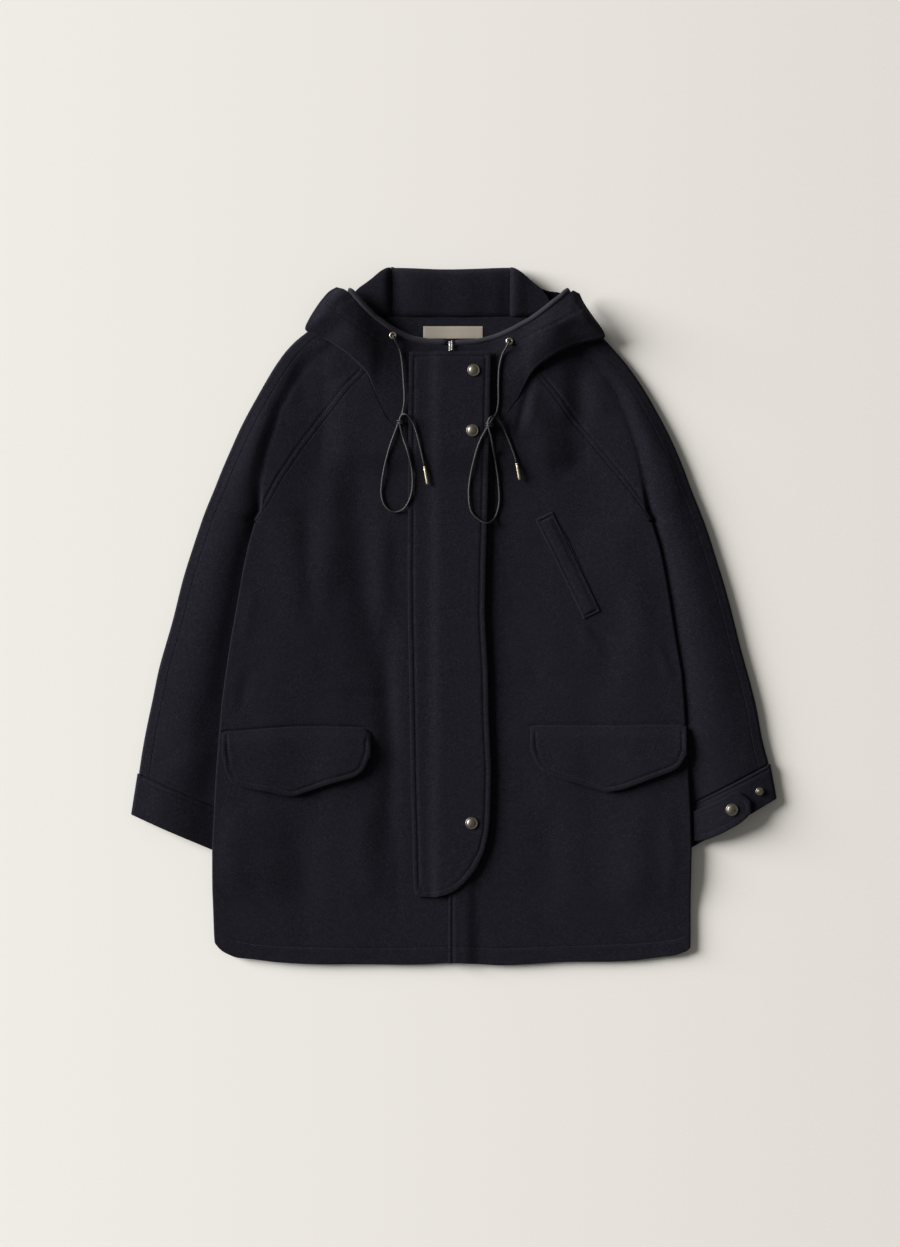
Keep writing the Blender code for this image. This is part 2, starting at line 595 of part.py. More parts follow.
def back_panel():
    """The back, lying on the floor, with the hood folded under its upper end."""
    levels = [None, -370, -310, -240, -150, -60, 0, 45, 80, 102, UNDERARM, 125, 137, 152, 172, 182, 194,
              208, 246, 269, 283, 303, 350, 372.5]
    grid = []
    for level in levels:
        y = -410 if level is None else level
        ends = []
        for side in (LEFT, RIGHT):
            if y <= UNDERARM:
                end = side_line(side, y) - SIDE_ROLL - FOLD_SEAM
                curl = smooth((UNDERARM - y) / 38)
                seam = look_up(RAGLAN, UNDERARM, side_column(side)) - SIDE_ROLL - FOLD_SEAM
                end = seam + (end - seam) * curl - UNDERARM_GAP * smooth((y - 80) / 22)
            elif y <= 303:
                end = look_up(RAGLAN, y, side_column(side)) - SEAM
            else:
                end = NECK_END - SEAM - 37 * smooth((y - 340) / 33)
            ends.append(side * end)
        row = []
        for share in BACK_COLUMNS:
            x = ends[0] + (ends[1] - ends[0]) * share
            row.append((x, hem_line(x) + 0.5 if level is None else y, back_height(x, y) + CLOTH))
        grid.append(row)
    add_sheet("back_panel", grid, upright=True)


def hood_side(side):
    """The front half of a hood side panel, from the neck seam and the fold over the shoulder to the
    opening edge."""
    columns = []
    for (low, high, low_rise, high_rise, curl) in HOOD[side]:
        low = Vector((*low, front_height(*low) + low_rise * LOBE_SCALE))
        high = Vector((*high, front_height(*high) + high_rise * LOBE_SCALE))
        inward = Vector((high.x - low.x, high.y - low.y, 0.0))
        length = inward.length
        inward.normalize()
        radius = max(CLOTH + 0.4, min(LOBE_ROLL, 0.34 * length))
        start = low + inward * curl_reach(radius, curl)
        column = [start - inward * out - Vector((0, 0, down))
                  for out, down in reversed(curl_points(radius, curl))]
        for step in range(1, 7):
            share = step / 6
            point = start.lerp(high, share)
            point.z += LOBE_BULGE * curl * math.sin(math.pi * share) * min(1.0, length / 45)
            if curl < 0.2:
                point.z = max(point.z, front_height(point.x, point.y) + high_rise * share * LOBE_SCALE)
            column.append(point)
        columns.append(column)
    grid = [[tuple(point) for point in column] for column in columns]
    add_sheet("hood_side_left" if side == LEFT else "hood_side_right", grid)


def binding(side):
    """The binding along the hood's opening edge, an oval cord of cloth."""
    centres = []
    for number, (low, high, _, high_rise, _) in enumerate(HOOD[side]):
        out = (Vector((*high, 0.0)) - Vector((*low, 0.0))).normalized()
        gap = TIP_GAP if number == len(HOOD[side]) - 1 else BINDING_GAP
        centre = Vector((*high, front_height(*high) + high_rise * LOBE_SCALE - CLOTH / 2))
        centre += out * (BINDING_WIDTH / 2 + gap)
        if number == 0:
            centre.x = -8.4 if side == LEFT else 2.2
        if not centres or (centre - centres[-1]).length > BINDING_WIDTH * 0.8:
            centres.append(centre)
    grid = []
    for number, centre in enumerate(centres):
        along = centres[min(number + 1, len(centres) - 1)] - centres[max(number - 1, 0)]
        across = Vector((-along.y, along.x, 0.0)).normalized()
        ring = []
        for step in range(8):
            angle = 2 * math.pi * (step + 0.5) / 8
            point = centre + across * (BINDING_WIDTH / 2 * math.cos(angle))
            point.z += BINDING_HEIGHT / 2 * math.sin(angle)
            ring.append(tuple(point))
        grid.append(ring)
    points = [point for ring in grid for point in ring]
    faces = []
    for row in range(len(grid) - 1):
        for step in range(8):
            one, two = row * 8 + step, row * 8 + (step + 1) % 8
            faces.append((one, two, two + 8, one + 8))
    faces.append(tuple(reversed(range(8))))
    faces.append(tuple(range(len(points) - 8, len(points))))
    add_mesh("binding_left" if side == LEFT else "binding_right", points, faces, "binding")


def hood_back():
    """The hood's centre strip and the rear halves of its sides: they stand up from the neck seam, fold
    over at the top and lie doubled on the floor under the upper back."""
    strips = {"hood_centre": (lambda row: -HOOD_SEAMS[0] + SEAM / 2, lambda row: HOOD_SEAMS[1] - SEAM / 2),
              "hood_rear_left": (lambda row: -row[2], lambda row: -HOOD_SEAMS[0] - SEAM / 2),
              "hood_rear_right": (lambda row: HOOD_SEAMS[1] + SEAM / 2, lambda row: row[3])}
    for name, (first, last) in strips.items():
        grid = []
        for share in (0.0, 0.5, 1.0):
            width = [last(row) - first(row) for row in HOOD_PATH]
            grid.append([(first(row) + span * share, *row[:2]) for row, span in zip(HOOD_PATH, width)])
        add_sheet(name, grid, plane=(-1.0, 0.0, 0.0))


def on_front(x, y):
    """Height of the face that the placket lies on."""
    return front_height(x, y) + LAP * smooth((x + 30) / 12)


def strip(name, rows, height, thickness, across=5, finish="wool"):
    """A flat piece that lies on the cloth: rows of two end points, its underside at height(x, y)."""
    grid = []
    for (x0, y0), (x1, y1) in rows:
        row = []
        for step in range(across):
            share = step / (across - 1)
            x, y = x0 + (x1 - x0) * share, y0 + (y1 - y0) * share
            row.append((x, y, height(x, y) + LAY + thickness))
        grid.append(row)
    add_sheet(name, grid, finish, thickness=thickness, upright=True)


def placket():
    """The wind placket over the zip."""
    rows = [((left, y), (right, y)) for y, left, right in PLACKET]
    strip("placket", rows, on_front, PLACKET_THICK, across=7)


def pocket_flap(side):
    """A pocket flap, swelling towards its point."""
    grid = []
    for x, top, low in FLAPS[side]:
        row = []
        for step in range(6):
            share = step / 5
            y = top + (low - top) * share
            swell = FLAP_SWELL * math.sin(math.pi * min(1.0, share) * 0.62)
            row.append((x, y, front_height(x, y) + FLAP_STAND + FLAP_THICK + swell))
        grid.append(row)
    add_sheet("flap_left" if side == LEFT else "flap_right", grid, thickness=FLAP_THICK, upright=True)


def cuff_tab():
    """The adjusting tab on the right cuff, with its end cut to a blunt point."""
    rows = []
    for (x0, y0), (x1, y1) in TAB:
        rows.append(((x0, y0), (x1, y1)))
    strip("cuff_tab", rows, lambda x, y: right_cuff_height(x, y) + LAY, TAB_THICK, across=4)


def right_cuff_height(x, y):
    """Face of the right cuff at a point."""
    top_in, top_out, low_in, low_out, top_x, low_x = CUFFS[RIGHT]
    share = 0.5
    for _ in range(8):
        outer = top_x + (low_x - top_x) * share
        along = (x - CUFF_INNER) / (outer - CUFF_INNER)
        top = top_in + along * (top_out - top_in)
        low = low_in + along * (low_out - low_in)
        share = (y - top) / (low - top)
    return cuff_height(RIGHT, min(1.0, max(0.0, share)), x)


def turned(name, profile, centre, finish, sides=20):
    """A turned piece from a profile of radii and heights, closed at its axis."""
    points = []
    rings = []
    for radius, height in profile:
        if radius == 0:
            rings.append([len(points)])
            points.append((centre[0], centre[1], centre[2] + height))
            continue
        rings.append(list(range(len(points), len(points) + sides)))
        for step in range(sides):
            angle = 2 * math.pi * step / sides
            points.append((centre[0] + radius * math.cos(angle), centre[1] + radius * math.sin(angle),
                           centre[2] + height))
    faces = []
    for one, two in zip(rings, rings[1:] + rings[:1] * (profile[0][0] > 0)):
        for step in range(sides):
            corners = (one[step % len(one)], one[(step + 1) % len(one)], two[(step + 1) % len(two)],
                       two[step % len(two)])
            corners = tuple(dict.fromkeys(corners))
            if len(corners) > 2:
                faces.append(corners)
    add_mesh(name, points, faces, finish)


def snap_cap(name, x, y, height, diameter=SNAP):
    """A domed snap cap with a rolled rim."""
    r = diameter / 2
    profile = ((0, 0), (r - 0.6, 0), (r, 0.7), (r - 0.5, 1.5), (r - 1.6, 1.6), (r * 0.55, 2.7), (0, 3.1))
    turned(name, profile, (x, y, height), "snap")


def eyelet(side):
    """A brass eyelet round the hole that the drawcord leaves by."""
    x, y = EYELETS[side]
    height = max(hood_face(x + dx, y + dy) for dx in (-4, 0, 4) for dy in (-4, 0, 4)) + LAY
    profile = ((2.2, 0), (4.5, 0), (4.5, 0.6), (3.4, 1.3), (2.2, 0.9))
    turned("eyelet_left" if side == LEFT else "eyelet_right", profile, (x, y, height), "brass")


def hood_face(x, y):
    """Face of the hood's front near the placket, or of the front below the neck seam."""
    side = LEFT if x < 0 else RIGHT
    rise = look_up([(abs(high[0]), high_rise) for _, high, _, high_rise, _ in HOOD[side]], abs(x), 1)
    share = smooth((y - 236) / 100)
    return front_height(x, y) + rise * LOBE_SCALE * share


def placket_face(x, y):
    """Height of whatever lies uppermost at a point where the drawcords pass."""
    left, right = (look_up(PLACKET, y, column) for column in (1, 2))
    face = hood_face(x, y)
    inside = smooth((min(x - left, right - x) + 8.0) / 5.0)
    return face + inside * (on_front(x, y) + LAY + PLACKET_THICK - face)


def drawcord(side):
    """The end of the drawcord, from its eyelet down to a knot, round a loop and on to its tip."""
    route = [Vector((x, y, placket_face(x, y) + rise + CORD / 2 + 2 * LAY)) for x, y, rise in CORDS[side]]
    smooth_route = []
    for number in range(len(route) - 1):
        before = route[max(number - 1, 0)]
        after = route[min(number + 2, len(route) - 1)]
        one, two = route[number], route[number + 1]
        pieces = max(1, round((two - one).length / (2.6 * CORD)))
        for step in range(pieces):
            t = step / pieces
            point = 0.5 * ((2 * one) + (two - before) * t + (2 * before - 5 * one + 4 * two - after) * t ** 2
                           + (3 * one - before - 3 * two + after) * t ** 3)
            smooth_route.append(point)
    smooth_route.append(route[-1])
    name = "drawcord_left" if side == LEFT else "drawcord_right"
    curve = bpy.data.curves.new(name, "CURVE")
    curve.dimensions = "3D"
    spline = curve.splines.new("POLY")
    spline.points.add(len(smooth_route) - 1)
    for point, place in zip(spline.points, smooth_route):
        point.co = (*(place * MM), 1.0)
    curve.bevel_depth = CORD / 2 * MM
    curve.bevel_resolution = 2
    curve.use_fill_caps = True
    curve.materials.append(material("cord"))
    made = bpy.data.objects.new(name, curve)
    bpy.context.scene.collection.objects.link(made)


def cord_tip(side):
    """The metal tip on a drawcord's end."""
    (x0, y0), (x1, y1) = TIPS[side]
    radius = CORD / 2 + 0.5
    height = max(placket_face(x0, y0), placket_face(x1, y1)) + radius + LAY
    along = Vector((x1 - x0, y1 - y0, 0.0))
    length = along.length
    along.normalize()
    across = Vector((-along.y, along.x, 0.0))
    points = []
    stations = ((0, radius - 0.4), (0.8, radius), (length - 1.2, radius), (length, radius - 0.6))
    for distance, size in stations:
        for step in range(10):
            angle = 2 * math.pi * step / 10
            point = Vector((x0, y0, height)) + along * distance
            point += (across * math.cos(angle) + Vector((0, 0, 1)) * math.sin(angle)) * size
            points.append(tuple(point))
    faces = []
    for row in range(3):
        for step in range(10):
            one, two = row * 10 + step, row * 10 + (step + 1) % 10
            faces.append((one, two, two + 10, one + 10))
    faces.append(tuple(reversed(range(10))))
    faces.append(tuple(range(30, 40)))
    add_mesh("cord_tip_left" if side == LEFT else "cord_tip_right", points, faces, "brass")


def small_parts():
    """The snaps, the stud on the cuff, the zip's top end and the neck label."""
    for name, (x, y) in SNAPS.items():
        snap_cap(name, x, y, on_front(x, y) + 2 * LAY + PLACKET_THICK)
    x, y = TAB_SNAP
    around = [right_cuff_height(x + dx, y + dy) for dx in (-7, 0, 7) for dy in (-7, 0, 7)]
    snap_cap("snap_tab", x, y, max(around) + 3 * LAY + TAB_THICK)
    x, y = CUFF_STUD
    around = [right_cuff_height(x + dx, y + dy) for dx in (-5, 0, 5) for dy in (-5, 0, 5)]
    snap_cap("cuff_stud", x, y, max(around) + LAY, diameter=10.0)
    zip_rows = [((-5.4, y), (-0.8, y)) for y in (329.5, 336.0, 342.5)]
    strip("zip_end", zip_rows, lambda x, y: front_height(-3, 336), ZIP_THICK, across=3, finish="brass")
    label = [((-37.5, y), (36.5, y)) for y in (345.5, 353.0, 360.5)]
    behind = back_height(0, 350) + CLOTH
    strip("neck_label", label, lambda x, y: behind, LABEL_THICK, across=3, finish="label")


def build():
    """Make every piece of the coat."""
    for old in list(bpy.data.objects):
        bpy.data.objects.remove(old, do_unlink=True)
    back_panel()
    hood_back()
    for side in (LEFT, RIGHT):
        front_panel(side)
        sleeve_front(side)
        sleeve_back(side)
        cuff(side)
        hood_side(side)
        binding(side)
        pocket_flap(side)
        eyelet(side)
        drawcord(side)
        cord_tip(side)
    placket()
    welt = [((105.5, 121.0), (120.5, 128.5)), ((125.5, 82.0), (140.5, 89.5)), ((146.0, 39.0), (160.5, 46.5)),
            ((166.0, -4.0), (180.5, 3.5))]
    strip("chest_welt", welt, front_height, WELT_THICK, across=3)
    cuff_tab()
    small_parts()


build()
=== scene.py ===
"""Dresses the parka: fine wool panels, stitching, binding, drawcords, snaps and the stage.

Lengths in the tables and in the shape functions are millimetres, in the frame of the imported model: +X is
the right-hand side as seen from above, +Y runs from the hem to the hood and +Z up from the floor. A side
is -1 for the left of the view and +1 for its right.
"""
import math

import bmesh
import bpy
import numpy as np
from bpy.props import FloatProperty, FloatVectorProperty, PointerProperty
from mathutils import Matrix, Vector
from mathutils.bvhtree import BVHTree


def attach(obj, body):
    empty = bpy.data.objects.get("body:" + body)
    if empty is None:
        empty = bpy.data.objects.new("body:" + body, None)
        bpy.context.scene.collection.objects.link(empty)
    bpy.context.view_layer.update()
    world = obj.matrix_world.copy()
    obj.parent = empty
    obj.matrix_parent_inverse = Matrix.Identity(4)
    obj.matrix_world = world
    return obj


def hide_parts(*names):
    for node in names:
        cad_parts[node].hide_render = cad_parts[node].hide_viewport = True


bl_info = {
    "name": "Wool Parka",
    "version": (1, 0, 0),
    "blender": (4, 5, 0),
    "location": "3D View > Sidebar > Parka",
    "description": "Builds a hooded wool parka laid flat on its back",
    "category": "Object",
}

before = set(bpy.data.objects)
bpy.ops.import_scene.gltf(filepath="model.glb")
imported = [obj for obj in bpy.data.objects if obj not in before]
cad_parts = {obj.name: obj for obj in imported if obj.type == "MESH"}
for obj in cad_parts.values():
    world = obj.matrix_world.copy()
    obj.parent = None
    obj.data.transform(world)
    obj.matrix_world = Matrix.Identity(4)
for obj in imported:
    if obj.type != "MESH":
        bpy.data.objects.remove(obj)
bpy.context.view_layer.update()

MM = 0.001
LEFT, RIGHT = -1, 1
SIDES = ((LEFT, "left"), (RIGHT, "right"))

CLOTH = 2.5              # thickness of the wool
SEAM = 0.3               # gap between two pieces at a seam
FOLD_SEAM = 1.4          # the same where one of the two ends in a curl
UNDERARM_GAP = 6.0       # how much further apart they are just below the underarm
LAY = 0.4                # gap between a piece and the cloth it lies on
FRONT_HEIGHT = 8.0       # face of the front above the floor at the middle
HOOD_PACK = 5.6          # height of the hood folded under the upper back
PACK_START = 172         # Y where it starts to lift the coat
PACK_REACH = 172         # and the distance from the centre line up to which it does
EDGE_HEIGHT = 13.8       # face of the front at its side fold
SIDE_ROLL = 3.6          # radius of the fold at the body's side
TUCK_HEIGHT = 6.0        # face of the sleeve where it lies under the body
TUCK_ROLL = TUCK_HEIGHT / 2
SLEEVE_ROLL = 5.0        # radius of the sleeve's outer edge
LAP = 3.0                # rise of the right front where it laps over the left
LAP_REACH = 30           # distance from the centre line up to which that counts
LIFT_LENGTH = 76         # length over which a panel rises towards its side
LIFT_UPPER = 82          # distance from the side fold where that starts, above the underarm
LIFT_LOWER = 86          # distance from the sleeve's tucked edge where it starts, below the underarm
LIFT_EARLY = 5.0         # how much sooner the front rises than the back, so that its wall keeps its room
CURL_STEPS = 10          # steps in a curled edge
CURL_STEP = 0.2          # length of such a step where the edge is flat
FLAT_STEP = 1.0          # the same at the raglan seam and at the neck seam
UNDERARM = 118.0         # Y of the underarm point
RAGLAN_TOP = 303         # Y where the raglan seam ends at the neck
UNDERARM_TURN = 3.0      # length over which the raglan seam turns into the side fold
SNAP = 15.4              # diameter of a snap cap
STUD = 10.0              # diameter of the bare stud on the cuff
CORD = 2.6               # diameter of the drawcord
FLOOR_REACH = 6000.0     # distance of the floor's edges from the coat
FLOOR_DEPTH = -0.4       # height of the floor, just under the coat
WINDOW_ENERGY = 7.1      # strength of the light from the window
WINDOW_ANGLE = 34        # width of that light in degrees, which sets how soft the shadows are
WINDOW_DIRECTION = (-1.0, 0.34, 0.427)     # from the coat towards the window
ROOM_COLOUR = (1.0, 0.99, 0.94, 1.0)       # light that comes from all round
ROOM_STRENGTH = 0.16
SENSOR = 36.0            # height of the camera's sensor
CAMERA_PLACE = (-0.0044, -0.010)           # where the camera stands over the coat, in metres

# Y, and the body's side fold or sleeve ridge on the left and on the right, from the centre line
SIDE = (
    (-430, 296, 295), (-404, 299, 296), (-344, 301, 296), (-293, 301, 297), (-247, 299, 296),
    (-193, 296, 293), (-108, 289, 288), (-71, 284, 285), (-31, 278, 278), (14, 270, 271),
    (60, 262, 263), (88, 256, 257), (112, 249, 249), (132, 244, 244), (172, 239, 236),
    (209, 231, 228), (244, 219, 216), (272, 211, 203), (307, 209, 197), (350, 190, 190),
)
# Y, and the inner edge of the sleeve where it is tucked under the body
TUCK = ((-330, 258, 258), (-240, 256, 256), (-100, 246, 246), (-20, 235, 236), (40, 227, 228),
        (80, 229, 229), (100, 236, 236), (UNDERARM, 247, 247))
# Y, and the raglan seam
RAGLAN = ((UNDERARM, 246, 246), (125, 241, 241), (137, 232, 233), (168, 215, 209), (208, 188, 176),
          (246, 159, 144), (269, 141, 128), (283, 130, 117), (303, 109, 100))
# Y, and the neck seam between the front and the hood
NECK = ((226, 8, 44), (231, 67, 51), (246, 83, 62.5), (269, 94, 79.5), (303, 109, 99.5))
# Y at the sleeve's inner line, then Y and the distance from the centre line at its outer edge, on the
# left and on the right
SLEEVE_ROWS = (
    (352, 368, 160, 368, 166), (330, 355, 183, 353, 182), (303, 341, 200, 338, 194),
    (283, 322, 216, 320, 211), (269, 304, 228, 303, 224), (246, 275, 244, 275, 243),
    (208, 234, 266, 234, 265), (168, 188, 287, 188, 286), (137, 150, 301, 150, 300),
    (125, 135, 308, 135, 306), (119.5, 128, 311, 128, 309), (112, 121, 313, 121, 311),
    (102, 111, 317, 111, 315),
    (90, 99.5, 321, 99.5, 319), (76, 86, 325.5, 86, 323.5), (40, 49, 336.5, 49, 335.5),
    (-10, -3, 350, -3, 349), (-75, -68, 368, -67, 366), (-145, -128, 381, -122, 380),
    (-210, -168, 388, -157, 386), (-256, -197, 393, -185, 393.5),
)
UPPER_ROWS = 11          # how many of the sleeve's rows lie above the underarm
NECK_END = 112.0         # distance of the sleeve's neck end from the centre line
# across a steep ridge and across a gentle one, distance out from the ridge; and share of its fall
RIDGE_STEP = ((-3.0, -3.0, 0.0), (-1.4, -1.0, 0.08), (0.4, 2.0, 0.32), (2.4, 6.0, 0.62), (5.6, 10.5, 0.86),
              (10.0, 16.0, 0.97), (14.0, 20.0, 1.0))
RIDGE_ROOM = 20.0        # least distance from the ridge to the overarm seam
CROWN = 4.6              # how far a sleeve's middle swells above its outer edge
FULLER = 3.6             # how much more it swells, easing off towards the cuff
OVERARM = 13.0           # distance of the overarm seam from the sleeve's outer edge
# Y of the cuff's seam at its inner and outer end, Y of its edge at both ends, and its outer edge's
# distance from the centre line at the seam and at the edge
CUFFS = {LEFT: (-256.3, -196.9, -312.0, -248.0, 394.5, 402.5),
         RIGHT: (-256.3, -184.9, -313.0, -228.0, 395.5, 403.5)}
CUFF_INNER = 257.0       # inner edge of the cuffs, under the body
CUFF_TUCK = 6.1          # face of a cuff where it lies under the body
CUFF_ROLL = 5.6          # radius of a cuff's outer edge
CUFF_CROWN = CROWN + 1.2     # how far a cuff's middle swells above its outer edge
CUFF_SINK = 0.9          # how far a cuff's upper edge sinks towards the sleeve
HOOD_SEAMS = (78.0, 70.0)    # the centre strip's seams, left and right of the centre line
# Y and height along the hood from the neck seam over its top fold and under the back, and how far its
# sides reach there on the left and on the right
HOOD_PATH = (
    (373.2, 8.8, 128, 130), (403, 15.0, 125, 114), (418, 17.2, 103, 95), (427, 16.6, 92, 84),
    (432, 13.0, 84.5, 76.5), (433.6, 8.5, 80.5, 72.5), (431.5, 3.4, 84.5, 76.5), (426, 0.0, 92, 84),
    (418, 0, 103, 95), (405.5, 0, 119, 114), (403, 0, 122, 139), (380, 0, 116, 116),
    (362, 0, 107, 104), (303, 0, 104, 95), (250, 0, 104, 96), (211, 0, 88, 84), (208.4, 1.0, 87, 83),
    (208.4, 4.3, 87, 83), (211, 5.3, 88, 84),
    (250, 5.3, 104, 96), (303, 5.3, 104, 95), (362, 5.3, 107, 104),
)
LOBE_SCALE = 1.15        # scale of the hood's rises over the cloth below it
LOBE_ROLL = 4.6          # radius of the fold at the hood's lower edge
LOBE_BULGE = 5.6         # swell of the hood's sides between their fold and the opening edge
BINDING_WIDTH, BINDING_HEIGHT = 7.0, 5.2
BINDING_END = {LEFT: -8.4, RIGHT: 2.2}     # X of its end beside the zip
BINDING_GAP = 0.2        # gap between the binding and the edge of the hood's side
TIP_GAP = 0.4            # gap between the binding's end and the tip of the hood's side
PLACKET_THICK = 3.4
PLACKET_REACH = 58       # distance from the centre line within which the placket hides the front
FLAP_THICK = 3.0
FLAP_SWELL = 2.6         # how far a flap swells towards its point
FLAP_STAND = 1.5         # how far a flap stands off the front
FLAP_WALL = FLAP_THICK - 1.2     # its wall, which leaves room over the front
FLAP_SINK = 2.5          # how far its top is sewn down
WELT_THICK = 1.5         # wall of the chest welt, which lies flush with the front
TAB_THICK = 3.0
LABEL_THICK = 0.8
LABEL_X = (-37.5, 36.5)  # the label's ends
LABEL_Y = (345.5, 353.0, 360.5)    # its lower edge, middle and upper edge
# the cuff tab's upper and lower edge, from the body's side out to its end
TAB = (((298.5, -244.5), (300, -281)), ((312, -239), (317, -279)), ((330, -230.5), (334, -271.5)),
       ((352.5, -217.5), (356, -259)), ((361, -224), (363, -253)), ((369.3, -230.8), (370, -246)))
TAB_SNAP = (346.0, -241.5)
CUFF_STUD = (381.0, -219.0)
HEM_ROWS_START = -410    # Y that stands for the hem in the rows of the fronts and the back
# X and Y of the hem's edge
HEM = ((-300, -403), (-297, -410), (-290, -418), (-272, -427), (-224, -433), (-115, -436), (-8, -434),
       (53, -436), (139, -433), (230, -430), (276, -425), (294, -418), (300, -408))
# height, half width, and points of a fold's line; the line fades out at both of its ends
FOLDS = (
    (-2.2, 17, ((-119, 280), (-120, 150), (-112, 20), (-90, -67), (-73, -160), (-70, -330))),
    (-2.0, 12, ((-184, 150), (-181, 60), (-175, -20))),
    (2.2, 16, ((-154, 200), (-152, 100), (-158, 10))),
    (2.0, 14, ((-88, 130), (-90, 40), (-82, -30))),
    (2.0, 20, ((-112, -225), (-108, -300), (-104, -370))),
    (2.2, 22, ((-262, -230), (-274, -290), (-268, -350))),
    (-1.8, 20, ((-205, -240), (-190, -320), (-180, -390))),
    (2.4, 15, ((96, 285), (112, 215), (122, 150))),
    (-2.2, 14, ((140, 262), (146, 215), (158, 170))),
    (1.8, 18, ((220, 90), (232, 0), (236, -90))),
    (-1.8, 22, ((205, 60), (198, -40), (190, -110))),
    (-1.6, 24, ((110, -220), (118, -300), (112, -380))),
    (1.8, 24, ((215, -240), (226, -310), (220, -380))),
    (-2.0, 14, ((-188, 335), (-189, 300), (-186, 250))),
    (2.2, 13, ((-160, 345), (-155, 320), (-154, 290))),
    (-2.0, 13, ((150, 320), (152, 270), (158, 225))),
    (2.0, 13, ((178, 310), (181, 275), (190, 245))),
)
# Y, and the left and right edges of the placket
PLACKET = (
    (-351, -44, -22), (-346, -49, -2), (-336, -49.5, 12), (-318, -50, 27), (-296, -50.5, 38),
    (-270, -51, 44), (-240, -52, 46), (-194, -53, 47), (-130, -54, 44), (-73, -55, 43), (0, -56.5, 39),
    (60, -57, 40), (128, -56.5, 42), (168, -56.3, 43), (176, -56.2, 43.2), (188, -56, 43.5),
    (200, -56, 43.8), (208, -56, 44), (246, -56, 45), (328, -55, 46.5),
)
# position across a pocket flap from 0 to 1, and its top and bottom edge on the left and on the right
FLAPS = {
    LEFT: ((-288, -146, -170), (-284, -145.5, -196), (-276, -145, -209), (-250, -143, -216),
           (-226, -141, -220), (-212, -140, -224), (-198, -139, -225), (-158, -139, -211), (-122, -140, -201),
           (-110, -141, -192), (-103, -150, -172)),
    RIGHT: ((96, -139, -165), (101, -138, -182), (109, -138, -192), (135, -138, -203),
            (191, -138, -220), (212, -138, -216), (236, -137, -207), (274, -137, -193), (284, -137, -186),
            (290, -139, -170)),
}
# the hood's front from the placket to its tip: the lower edge, the edge under the binding, the height
# of each, and how far the fold at the lower edge turns under
HOOD = {
    LEFT: (
        ((-2, 226.5), (-2, 336), 0.0, 0.0, 0), ((-30, 228), (-27, 337), 0.0, 0.0, 0),
        ((-66.3, 231.6), (-52, 341), 0.0, 0.0, 0), ((-82.3, 246.4), (-68, 348), 0.0, 2.4, 0),
        ((-93.3, 269.4), (-81, 355), 0.5, 6.0, 0), ((-99.9, 284.3), (-89, 361), 2.0, 8.0, 0.25),
        ((-108.3, 303.8), (-98, 367), 6.5, 10, 0.6),
        ((-134, 327), (-108, 376), 11, 13, 1), ((-156, 342), (-116, 384), 12, 15, 1),
        ((-176, 350), (-121, 390), 12, 16, 1), ((-186.5, 355), (-125, 394), 12, 16, 1),
        ((-180, 369), (-127, 397), 12, 16, 1), ((-168, 388), (-130, 400), 11.5, 16, 1),
        ((-156, 403), (-133, 403), 11, 15, 1), ((-146, 408), (-136, 405), 11, 12, 1),
    ),
    RIGHT: (
        ((-1, 226.5), (-1, 336), 0.0, 0.0, 0), ((25, 228), (27, 337), 0.0, 0.0, 0),
        ((50.4, 231.6), (46, 341), 0.0, 0.0, 0), ((61.8, 246.4), (60, 346), 0.0, 2.4, 0),
        ((78.8, 269.4), (75, 352.5), 0.5, 6.0, 0), ((87.6, 284.3), (85, 358), 2.0, 8.0, 0.25),
        ((98.6, 303.8), (95, 363), 6.5, 10, 0.6),
        ((121, 321), (110, 373), 11, 13, 1), ((150, 336), (121, 381), 12, 15, 1),
        ((176, 342), (128, 387), 12, 16, 1), ((190.5, 345), (134, 391), 12, 16, 1),
        ((184, 358), (138, 395), 12, 16, 1), ((172, 374), (141, 398), 12, 16, 1),
        ((162, 389), (145, 401), 11, 15, 1), ((157, 400), (148.5, 403.5), 11, 12, 1),
    ),
}
# the route of each drawcord from its eyelet: X, Y and height above the cloth's face
CORDS = {
    LEFT: (
        (-75.5, 348, 0.2), (-75.2, 347.4, 2.6), (-72, 341, 2.9), (-67, 331, 0), (-64, 316, 0),
        (-62, 290, 0), (-61, 270, 0), (-63, 254, 0), (-67, 244, 0), (-71, 233, 0), (-79, 211, 0.5),
        (-86, 185, 0.6), (-90, 158, 0), (-88, 142, 0), (-81, 132, 0), (-72, 129, 0), (-62, 133, 0),
        (-54, 146, 0), (-51, 163, 0), (-52, 183, 0), (-57, 204, 0), (-62.5, 220, 0.6),
        (-65.5, 232, 2.8), (-67, 241, 4.0), (-65, 248.5, 4.3), (-59.5, 250, 3.8), (-54, 245, 2.2),
        (-48.5, 235, 0.4), (-43, 216, 0), (-38, 194, 0), (-36.6, 187, 0),
    ),
    RIGHT: (
        (69.5, 341, 0.2), (69.2, 340.4, 2.6), (66, 334, 2.9), (61, 325, 0), (57, 309, 0),
        (56, 288, 0), (56, 268, 0), (54, 254, 0), (48, 243, 0), (41, 232, 0), (33, 217, 0),
        (27, 199, 0), (21, 173, 0), (19, 150, 0), (22, 130, 0), (32, 119, 0), (43, 115, 0),
        (52, 123, 0), (57, 141, 0), (56, 166, 0), (52, 193, 0), (48.5, 212, 0.6), (46, 224, 2.6),
        (43.5, 233, 4.2), (43, 241, 4.4), (47, 246.5, 5.0), (53, 245.5, 6.5), (58.5, 240, 4.0),
        (65, 227, 0.6), (72, 210, 0), (77, 196, 0), (78.2, 191, 0),
    ),
}
TIPS = {LEFT: ((-36.3, 185.6), (-32.4, 163.0)), RIGHT: ((78.6, 189.6), (82.4, 168.6))}
KNOTS = {LEFT: (-66.0, 240.5), RIGHT: (44.5, 237.0)}
